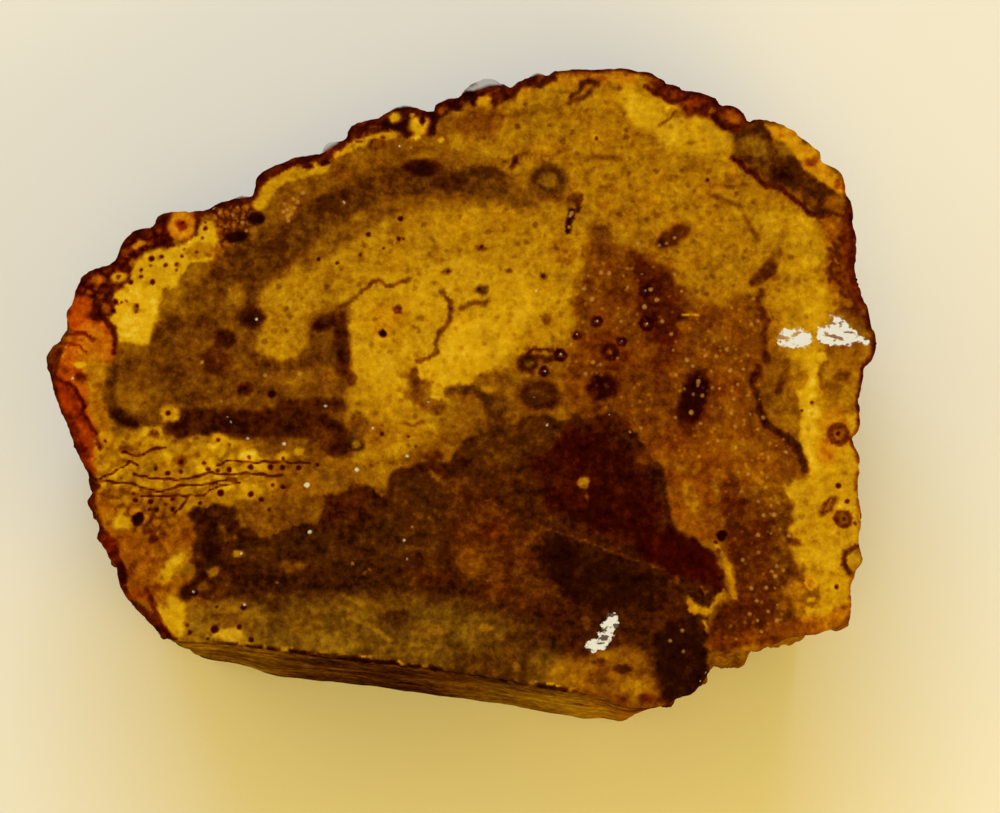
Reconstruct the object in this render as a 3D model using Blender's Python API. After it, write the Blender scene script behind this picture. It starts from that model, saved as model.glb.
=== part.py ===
"""Rough petrified wood: one chunk of a fossil log, sawn flat across the grain on top.

The sawn face is the top. Its rim follows the lobed bark of the log, apart from
the front, where the log split along the grain. The bark side is ribbed, knobbly
and pitted, and the underside is sawn flat, so that the stone rests on it.
"""
import math

import bmesh
import bpy
from mathutils import Vector, noise

NAME = "petrified_wood"
MM = 0.001

# Driving dimensions, in millimetres
THICKNESS = 45.0
EDGE_BREAK = 0.3
SPLIT_BLEND = 4.0
SPLIT_ROUGHNESS = 0.35
FOOT_ROUND = 1.6
FOOT_ROUND_HEIGHT = 3.0

# Number of stations round the rim, and the middle of the stone's box in the rim's own coordinates
STATIONS = 204
BOX_MIDDLE = (0.0, 0.4)

# Relief of the bark side, in millimetres
RIB_PITCH = 8.0
RIB_LENGTH = 30.0
RIB_HEIGHT = 3.4
KNOB_PITCH = 5.5
KNOB_HEIGHT = 2.0
PIT_PITCH = 14.0
PIT_REACH = 0.42
PIT_DEPTH = 2.4
BULGE_SLOPE = 0.13
BULGE_SOFTNESS = 0.8

# The lobes of the rim fade by this share until this depth; they are averaged over this many stations
LOBE_FADE = 0.6
LOBE_FADE_DEPTH = 26.0
LOBE_REACH = 5

# Depths below the sawn face at which the side is drawn, closer together near the rim
SIDE_DROPS = (0.5, 1.5, 2.7, 4.1, 6.0, 8.4, 11.2, 14.3, 17.6, 21.0, 24.4, 27.8, 31.2, 34.5, 37.7, 40.4, 42.6, 44.2)

# Rim of the sawn face along the bark, from the front left corner round the back to the right notch
BARK_RIM = [
    (-42.2, -39.1), (-43.8, -38.5), (-45.1, -37.2), (-46.6, -35.4), (-48.0, -34.3), (-49.3, -32.8),
    (-50.4, -31.2), (-50.8, -29.2), (-51.3, -27.5), (-52.6, -25.7), (-53.5, -24.2), (-53.6, -22.4),
    (-54.1, -21.2), (-54.5, -19.4), (-55.0, -18.0), (-54.9, -16.8), (-54.3, -15.8), (-55.0, -14.9),
    (-55.9, -13.4), (-57.0, -11.4), (-58.1, -9.0), (-59.0, -6.4), (-60.1, -4.2), (-61.0, -2.0),
    (-61.3, 0.4), (-60.9, 2.8), (-60.1, 5.4), (-58.9, 7.6), (-59.3, 9.4), (-59.4, 10.9),
    (-58.7, 12.0), (-58.5, 13.1), (-58.0, 14.6), (-57.2, 16.2), (-55.7, 17.3), (-54.1, 17.8),
    (-52.6, 18.4), (-52.0, 19.5), (-51.7, 20.8), (-50.8, 22.1), (-49.5, 23.4), (-47.3, 23.8),
    (-46.6, 24.5), (-46.0, 25.6), (-44.4, 26.1), (-42.7, 26.4), (-40.5, 26.4), (-38.7, 26.6),
    (-37.2, 27.5), (-35.2, 28.2), (-33.2, 28.4), (-31.7, 28.8), (-31.4, 30.0), (-31.2, 31.4),
    (-30.4, 32.5), (-28.2, 33.6), (-26.0, 34.6), (-23.3, 35.2), (-21.2, 35.5), (-18.2, 37.2),
    (-17.5, 38.0), (-17.3, 39.1), (-16.1, 40.1), (-14.1, 40.8), (-12.5, 41.1), (-11.2, 42.0),
    (-8.8, 42.8), (-6.8, 42.6), (-4.9, 42.0), (-4.1, 42.3), (-3.9, 43.3), (-2.2, 44.0),
    (-0.4, 44.3), (0.4, 45.0), (2.6, 45.5), (4.8, 46.1), (6.5, 46.2), (7.5, 45.8),
    (8.6, 46.8), (10.1, 47.4), (11.9, 47.8), (13.4, 47.9), (14.5, 48.5), (17.6, 48.8),
    (21.1, 48.8), (24.6, 48.9), (26.8, 48.5), (29.0, 48.1), (30.8, 47.2), (31.4, 46.5),
    (33.0, 46.2), (34.1, 45.4), (35.9, 45.3), (37.8, 44.6), (38.9, 44.0), (39.6, 43.2),
    (41.4, 43.0), (42.7, 42.3), (43.3, 41.3), (43.9, 40.5), (44.9, 40.9), (46.6, 40.7),
    (48.8, 40.1), (50.6, 39.1), (52.1, 37.7), (53.7, 36.6), (54.6, 35.8), (55.0, 34.2),
    (56.8, 33.3), (57.9, 32.2), (58.4, 30.9), (58.4, 29.4), (59.2, 27.8), (59.6, 26.1),
    (59.4, 24.4), (59.9, 22.6), (59.8, 19.9), (59.6, 16.6), (59.9, 15.1), (60.5, 13.8),
    (60.9, 12.4), (61.6, 10.9), (61.7, 9.8), (62.0, 8.3), (62.5, 7.2), (62.5, 5.4),
    (62.3, 4.1), (61.6, 3.0), (60.7, 2.1), (60.4, 0.2), (60.1, -1.3), (59.7, -2.8),
    (59.9, -4.6), (59.9, -6.1), (59.6, -7.5), (58.6, -8.6), (59.0, -9.9), (59.6, -11.2),
    (59.6, -13.2), (59.3, -14.9), (59.2, -16.5), (59.4, -18.0), (59.7, -20.0), (59.6, -22.0),
    (59.2, -24.0), (59.4, -26.2), (59.0, -27.9), (58.4, -29.5), (57.9, -30.6), (58.0, -33.2),
    (57.7, -35.4), (56.8, -36.4), (55.2, -37.2), (52.8, -38.0), (50.2, -38.4), (48.2, -38.8),
    (45.6, -39.8), (44.0, -40.4), (41.3, -40.6), (38.9, -41.0), (37.1, -41.4), (36.8, -43.4),
    (36.3, -44.4), (35.2, -45.7), (33.9, -46.8), (32.3, -47.4), (30.8, -48.4), (28.2, -48.9),
]

# Rim along the front, where the log split along the grain, back to the front left corner
SPLIT_RIM = [
    (26.2, -49.0), (23.7, -48.4), (20.9, -47.4), (13.2, -46.1), (4.4, -44.5), (-4.4, -43.3),
    (-16.3, -41.8), (-29.5, -40.3), (-37.4, -39.3),
]

# How far the foot stands in from the rim, by compass angle in degrees seen from above
FOOT_INSET = [
    (-180, 1.0), (-165, 2.2), (-150, 4.2), (-137, 3.4), (-126, 0.0), (-63, 0.0),
    (-60, 3.2), (-55, 5.6), (-50, 3.4), (-44, 2.4), (-38, 4.6), (-30, 3.2),
    (-10, 1.2), (15, 0.6), (35, 2.6), (60, 1.4), (85, 3.0), (110, 1.2),
    (135, 3.4), (155, 1.0), (180, 1.0),
]

# Lumps that stand out past the rim just below it: place, how far out, how far down, half width
RIM_LUMPS = [
    ((-60.4, 4.6), 2.4, 3.6, 4.2), ((-55.2, -17.6), 0.9, 2.2, 1.6), ((-53.8, -23.2), 0.8, 2.0, 1.2),
    ((-33.3, 28.6), 1.0, 1.8, 1.2), ((-20.0, 36.6), 1.9, 2.2, 1.9), ((-8.6, 42.8), 0.8, 1.8, 2.4),
    ((3.8, 45.8), 2.1, 2.6, 3.1), ((11.6, 47.8), 0.7, 1.4, 1.4), ((59.4, -26.4), 0.6, 1.8, 2.0),
]


def clear_scene():
    for old in list(bpy.data.objects):
        bpy.data.objects.remove(old, do_unlink=True)


def smooth_step(low, high, value):
    t = min(max((value - low) / (high - low), 0.0), 1.0)
    return t * t * (3.0 - 2.0 * t)


def soft_limit(value, top):
    """The value, bent over smoothly where it would pass the top."""
    return top - BULGE_SOFTNESS * math.log1p(math.exp((top - value) / BULGE_SOFTNESS))\
        + BULGE_SOFTNESS * math.log(2.0) * math.exp(-((top - value) / BULGE_SOFTNESS) ** 2)


def through(points, steps):
    """A closed smooth curve through the points, as a fine chain."""
    chain = []
    count = len(points)
    for i in range(count):
        p0, p1, p2, p3 = (Vector(points[(i + k) % count]) for k in (-1, 0, 1, 2))
        for k in range(steps):
            t = k / steps
            chain.append(0.5 * (2 * p1 + (p2 - p0) * t + (2 * p0 - 5 * p1 + 4 * p2 - p3) * t * t
                                + (3 * p1 - p0 - 3 * p2 + p3) * t ** 3))
    return chain


def spaced(chain, count):
    """Points at equal distances along a closed chain."""
    lengths = [(chain[(i + 1) % len(chain)] - chain[i]).length for i in range(len(chain))]
    pitch = sum(lengths) / count
    result = []
    travelled = 0.0
    for i, length in enumerate(lengths):
        while len(result) < count and len(result) * pitch <= travelled + length:
            share = (len(result) * pitch - travelled) / max(length, 1e-9)
            result.append(chain[i].lerp(chain[(i + 1) % len(chain)], share))
        travelled += length
    return result


def bark_share(point):
    """One on the bark, falling to zero on the split front."""
    run = [Vector(BARK_RIM[-1])] + [Vector(p) for p in SPLIT_RIM] + [Vector(BARK_RIM[0])]
    nearest = 1e9
    for a, b in zip(run, run[1:]):
        along = min(max((point - a).dot(b - a) / (b - a).length_squared, 0.0), 1.0)
        nearest = min(nearest, (point - a.lerp(b, along)).length)
    return smooth_step(0.0, SPLIT_BLEND, nearest)


def foot_inset(point):
    angle = math.degrees(math.atan2(point.y, point.x))
    for (a0, d0), (a1, d1) in zip(FOOT_INSET, FOOT_INSET[1:]):
        if a0 <= angle <= a1:
            return d0 + (d1 - d0) * smooth_step(a0, a1, angle)
    return FOOT_INSET[0][1]


def relief(point, drop):
    """Ribs, knobs and pits of the bark, as a push outwards."""
    x, y = point
    rib = noise.noise(Vector((x / RIB_PITCH, y / RIB_PITCH, drop / RIB_LENGTH)))
    knob = noise.noise(Vector((x / KNOB_PITCH, y / KNOB_PITCH, drop / KNOB_PITCH + 7.0)))
    near = noise.voronoi(Vector((x / PIT_PITCH, y / PIT_PITCH, drop / PIT_PITCH)))[0][0]
    pit = 1.0 - smooth_step(0.0, PIT_REACH, near)
    return RIB_HEIGHT * rib + KNOB_HEIGHT * knob - PIT_DEPTH * pit


def rim_lumps(point, drop):
    push = 0.0
    for place, out, down, width in RIM_LUMPS:
        away = (point - Vector(place)).length / width
        below = (drop - down) / (1.2 * down)
        push += out * math.exp(-away * away - below * below) * smooth_step(0.0, 0.6 * down, drop)
    return push


def side_push(point, drop):
    """How far the side stands out from the rim at this depth."""
    bark = bark_share(point)
    bumps = soft_limit(relief(point, drop) * smooth_step(0.0, 9.0, drop), BULGE_SLOPE * drop)
    split = SPLIT_ROUGHNESS * noise.noise(Vector((point.x / 6.0, drop / 3.0, 1.0))) * smooth_step(0.0, 3.0, drop)
    push = bark * bumps + (1.0 - bark) * split + rim_lumps(point, drop)
    rounding = smooth_step(THICKNESS - FOOT_ROUND_HEIGHT, THICKNESS, drop)
    return push - foot_inset(point) * drop / THICKNESS - FOOT_ROUND * rounding * (0.3 + 0.7 * bark)


def outward(ring, i, reach=6):
    """Level direction away from the stone at station i of a clockwise ring, smoothed over its neighbours."""
    total = Vector((0.0, 0.0))
    for k in range(1, reach + 1):
        along = (ring[(i + k) % len(ring)] - ring[i - k]).normalized()
        total += Vector((-along.y, along.x))
    return total.normalized()


def averaged(ring, i, reach):
    """The ring's course at station i with its small lobes averaged away."""
    total = Vector((0.0, 0.0))
    for k in range(-reach, reach + 1):
        total += ring[(i + k) % len(ring)]
    return total / (2 * reach + 1)


def build_rings():
    """The stone's outline at each depth below the sawn face."""
    rim = spaced(through(BARK_RIM + SPLIT_RIM, 6), STATIONS)
    plain = [averaged(rim, i, LOBE_REACH) for i in range(STATIONS)]
    ways = [outward(rim, i) for i in range(STATIONS)]
    rings = [(0.0, [p - n * EDGE_BREAK for p, n in zip(rim, ways)])]
    for drop in SIDE_DROPS + (THICKNESS,):
        fade = LOBE_FADE * smooth_step(0.0, LOBE_FADE_DEPTH, drop)
        ring = []
        for p, q, n in zip(rim, plain, ways):
            course = p.lerp(q, fade * bark_share(p))
            ring.append(course + n * side_push(p, drop))
        rings.append((drop, ring))
    return rings


def build_stone():
    bm = bmesh.new()
    verts = []
    for drop, ring in build_rings():
        height = THICKNESS - drop
        placed = [(p - Vector(BOX_MIDDLE)) * MM for p in ring]
        verts.append([bm.verts.new((p.x, p.y, height * MM)) for p in placed])
    for upper, lower in zip(verts, verts[1:]):
        for i in range(STATIONS):
            j = (i + 1) % STATIONS
            bm.faces.new((upper[i], upper[j], lower[j], lower[i]))
    bm.faces.new(verts[0])
    bm.faces.new(verts[-1])
    bmesh.ops.recalc_face_normals(bm, faces=bm.faces)
    bmesh.ops.triangulate(bm, faces=bm.faces)
    mesh = bpy.data.meshes.new(NAME)
    bm.to_mesh(mesh)
    bm.free()
    return mesh


def stone_material():
    material = bpy.data.materials.new("petrified_wood_stone")
    material.use_nodes = True
    shader = material.node_tree.nodes["Principled BSDF"]
    shader.inputs["Base Color"].default_value = (0.24, 0.11, 0.012, 1.0)
    shader.inputs["Roughness"].default_value = 0.35
    shader.inputs["Metallic"].default_value = 0.0
    material.diffuse_color = (0.24, 0.11, 0.012, 1.0)
    return material


def main():
    clear_scene()
    collection = bpy.data.collections.new("rough_petrified_wood")
    bpy.context.scene.collection.children.link(collection)
    stone = bpy.data.objects.new(NAME, build_stone())
    stone.data.materials.append(stone_material())
    stone.data.shade_smooth()
    stone.data.set_sharp_from_angle(angle=math.radians(40))
    collection.objects.link(stone)


main()
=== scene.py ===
"""Looks of the rough petrified wood: one closed stone whose sawn face is painted feature by feature.

Lengths are in millimetres until a mesh is made. The face is described in the rim's own
coordinates: x to the right, y to the back, seen from above. BOX_MIDDLE shifts them to the frame.
"""
import math

import bmesh
import bpy
import numpy as np
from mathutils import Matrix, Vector, geometry, noise


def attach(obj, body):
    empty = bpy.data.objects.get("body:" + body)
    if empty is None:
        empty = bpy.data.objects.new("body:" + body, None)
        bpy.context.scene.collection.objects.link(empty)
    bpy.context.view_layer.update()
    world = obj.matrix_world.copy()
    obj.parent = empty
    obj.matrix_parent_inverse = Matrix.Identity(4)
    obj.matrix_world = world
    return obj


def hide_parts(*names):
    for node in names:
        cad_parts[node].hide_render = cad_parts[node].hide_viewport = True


MM = 0.001
NODE = "petrified_wood"

# The stone's driving dimensions, as its solid has them
THICKNESS = 45.0
BOX_MIDDLE = (0.0, 0.4)
EDGE_BREAK = 0.3
SPLIT_BLEND = 4.0
SPLIT_ROUGHNESS = 0.35
FOOT_ROUND = 1.6
FOOT_ROUND_HEIGHT = 3.0
RIB_PITCH = 8.0
RIB_LENGTH = 30.0
RIB_HEIGHT = 3.4
KNOB_PITCH = 5.5
KNOB_HEIGHT = 2.0
PIT_PITCH = 14.0
PIT_REACH = 0.42
PIT_DEPTH = 2.4
BULGE_SLOPE = 0.13
BULGE_SOFTNESS = 0.8
LOBE_FADE = 0.6
LOBE_FADE_DEPTH = 26.0
LOBE_REACH = 9.7
NORMAL_REACH = 11.6

# Small grain of the bark, which the plain solid leaves out: pitch, length down the side, shift, height
FINE_KNOBS = (2.3, 2.8, 3.0, 0.75)
PIMPLES = (1.1, 1.4, 0.0, 0.28)
FIBRES = (0.95, 9.0, 0.0, 0.30)
FURROWS = (4.6, 22.0, 5.0, 0.7)
FURROW_WIDTH = 0.16

# Grain of the split front
LAYER_HEIGHT = 0.22
CHIP_HEIGHT = 0.10
UNDERCUT = 0.45
UNDERCUT_FOOT = 4.5

# Depths below the rim over which the relief, the small grain and the split's roughness set in
RELIEF_DEPTH = 9.0
GRAIN_DEPTH = 3.5
SPLIT_DEPTH = 3.0

# Wear of the rim, and hollows of the sawn face
RIM_WEAR = 0.16
FINE_RIM_WEAR = 0.10
FRONT_CRUMBS = 0.35
WEAR_DEPTH = 3.0
PORE_DEPTH = 0.10
CRACK_DEPTH = 0.08
WAVE_DEPTH = 0.03
FINE_WAVE_DEPTH = 0.015
RIM_DROP = 0.05

# How finely the stone is drawn
STATIONS = 700
LEVELS = 34
FACE_PITCH = 0.385
FOOT_PITCH = 3.0
CURVE_STEPS = 12
FIRST_LEVEL = 0.18
LEVEL_CROWDING = 0.38
SHARP_EDGE = 42.0

# Rim of the sawn face along the bark, from the front left corner round the back to the right notch
BARK_RIM = [
    (-42.2, -39.1), (-43.8, -38.5), (-45.1, -37.2), (-46.6, -35.4), (-48.0, -34.3), (-49.3, -32.8),
    (-50.4, -31.2), (-50.8, -29.2), (-51.3, -27.5), (-52.6, -25.7), (-53.5, -24.2), (-53.6, -22.4),
    (-54.1, -21.2), (-54.5, -19.4), (-55.0, -18.0), (-54.9, -16.8), (-54.3, -15.8), (-55.0, -14.9),
    (-55.9, -13.4), (-57.0, -11.4), (-58.1, -9.0), (-59.0, -6.4), (-60.1, -4.2), (-61.0, -2.0),
    (-61.3, 0.4), (-60.9, 2.8), (-60.1, 5.4), (-58.9, 7.6), (-59.3, 9.4), (-59.4, 10.9),
    (-58.7, 12.0), (-58.5, 13.1), (-58.0, 14.6), (-57.2, 16.2), (-55.7, 17.3), (-54.1, 17.8),
    (-52.6, 18.4), (-52.0, 19.5), (-51.7, 20.8), (-50.8, 22.1), (-49.5, 23.4), (-47.3, 23.8),
    (-46.6, 24.5), (-46.0, 25.6), (-44.4, 26.1), (-42.7, 26.4), (-40.5, 26.4), (-38.7, 26.6),
    (-37.2, 27.5), (-35.2, 28.2), (-33.2, 28.4), (-31.7, 28.8), (-31.4, 30.0), (-31.2, 31.4),
    (-30.4, 32.5), (-28.2, 33.6), (-26.0, 34.6), (-23.3, 35.2), (-21.2, 35.5), (-18.2, 37.2),
    (-17.5, 38.0), (-17.3, 39.1), (-16.1, 40.1), (-14.1, 40.8), (-12.5, 41.1), (-11.2, 42.0),
    (-8.8, 42.8), (-6.8, 42.6), (-4.9, 42.0), (-4.1, 42.3), (-3.9, 43.3), (-2.2, 44.0),
    (-0.4, 44.3), (0.4, 45.0), (2.6, 45.5), (4.8, 46.1), (6.5, 46.2), (7.5, 45.8),
    (8.6, 46.8), (10.1, 47.4), (11.9, 47.8), (13.4, 47.9), (14.5, 48.5), (17.6, 48.8),
    (21.1, 48.8), (24.6, 48.9), (26.8, 48.5), (29.0, 48.1), (30.8, 47.2), (31.4, 46.5),
    (33.0, 46.2), (34.1, 45.4), (35.9, 45.3), (37.8, 44.6), (38.9, 44.0), (39.6, 43.2),
    (41.4, 43.0), (42.7, 42.3), (43.3, 41.3), (43.9, 40.5), (44.9, 40.9), (46.6, 40.7),
    (48.8, 40.1), (50.6, 39.1), (52.1, 37.7), (53.7, 36.6), (54.6, 35.8), (55.0, 34.2),
    (56.8, 33.3), (57.9, 32.2), (58.4, 30.9), (58.4, 29.4), (59.2, 27.8), (59.6, 26.1),
    (59.4, 24.4), (59.9, 22.6), (59.8, 19.9), (59.6, 16.6), (59.9, 15.1), (60.5, 13.8),
    (60.9, 12.4), (61.6, 10.9), (61.7, 9.8), (62.0, 8.3), (62.5, 7.2), (62.5, 5.4),
    (62.3, 4.1), (61.6, 3.0), (60.7, 2.1), (60.4, 0.2), (60.1, -1.3), (59.7, -2.8),
    (59.9, -4.6), (59.9, -6.1), (59.6, -7.5), (58.6, -8.6), (59.0, -9.9), (59.6, -11.2),
    (59.6, -13.2), (59.3, -14.9), (59.2, -16.5), (59.4, -18.0), (59.7, -20.0), (59.6, -22.0),
    (59.2, -24.0), (59.4, -26.2), (59.0, -27.9), (58.4, -29.5), (57.9, -30.6), (58.0, -33.2),
    (57.7, -35.4), (56.8, -36.4), (55.2, -37.2), (52.8, -38.0), (50.2, -38.4), (48.2, -38.8),
    (45.6, -39.8), (44.0, -40.4), (41.3, -40.6), (38.9, -41.0), (37.1, -41.4), (36.8, -43.4),
    (36.3, -44.4), (35.2, -45.7), (33.9, -46.8), (32.3, -47.4), (30.8, -48.4), (28.2, -48.9),
]

# Rim along the front, where the log split along the grain, back to the front left corner
SPLIT_RIM = [
    (26.2, -49.0), (23.7, -48.4), (20.9, -47.4), (13.2, -46.1), (4.4, -44.5), (-4.4, -43.3),
    (-16.3, -41.8), (-29.5, -40.3), (-37.4, -39.3),
]

# How far the foot stands in from the rim, by compass angle in degrees seen from above
FOOT_INSET = [
    (-180, 1.0), (-165, 2.2), (-150, 4.2), (-141, 3.0), (-134, 1.3), (-126, 0.0), (-68, 0.0), (-63, 1.3),
    (-60, 3.2), (-55, 5.6), (-50, 3.4), (-44, 2.4), (-38, 4.6), (-30, 3.2),
    (-10, 1.2), (15, 0.6), (35, 2.6), (60, 1.4), (85, 3.0), (110, 1.2),
    (135, 3.4), (155, 1.0), (180, 1.0),
]

# Lumps that stand out past the rim just below it: place, how far out, how far down, half width
RIM_LUMPS = [
    ((-60.4, 4.6), 2.4, 3.6, 4.2), ((-55.2, -17.6), 0.9, 2.2, 1.6), ((-53.8, -23.2), 0.8, 2.0, 1.2),
    ((-33.3, 28.6), 1.0, 1.8, 1.2), ((-20.0, 36.6), 1.9, 2.2, 1.9), ((-8.6, 42.8), 0.8, 1.8, 2.4),
    ((3.8, 45.8), 2.1, 2.6, 3.1), ((11.6, 47.8), 0.7, 1.4, 1.4), ((59.4, -26.4), 0.6, 1.8, 2.0),
]

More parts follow.
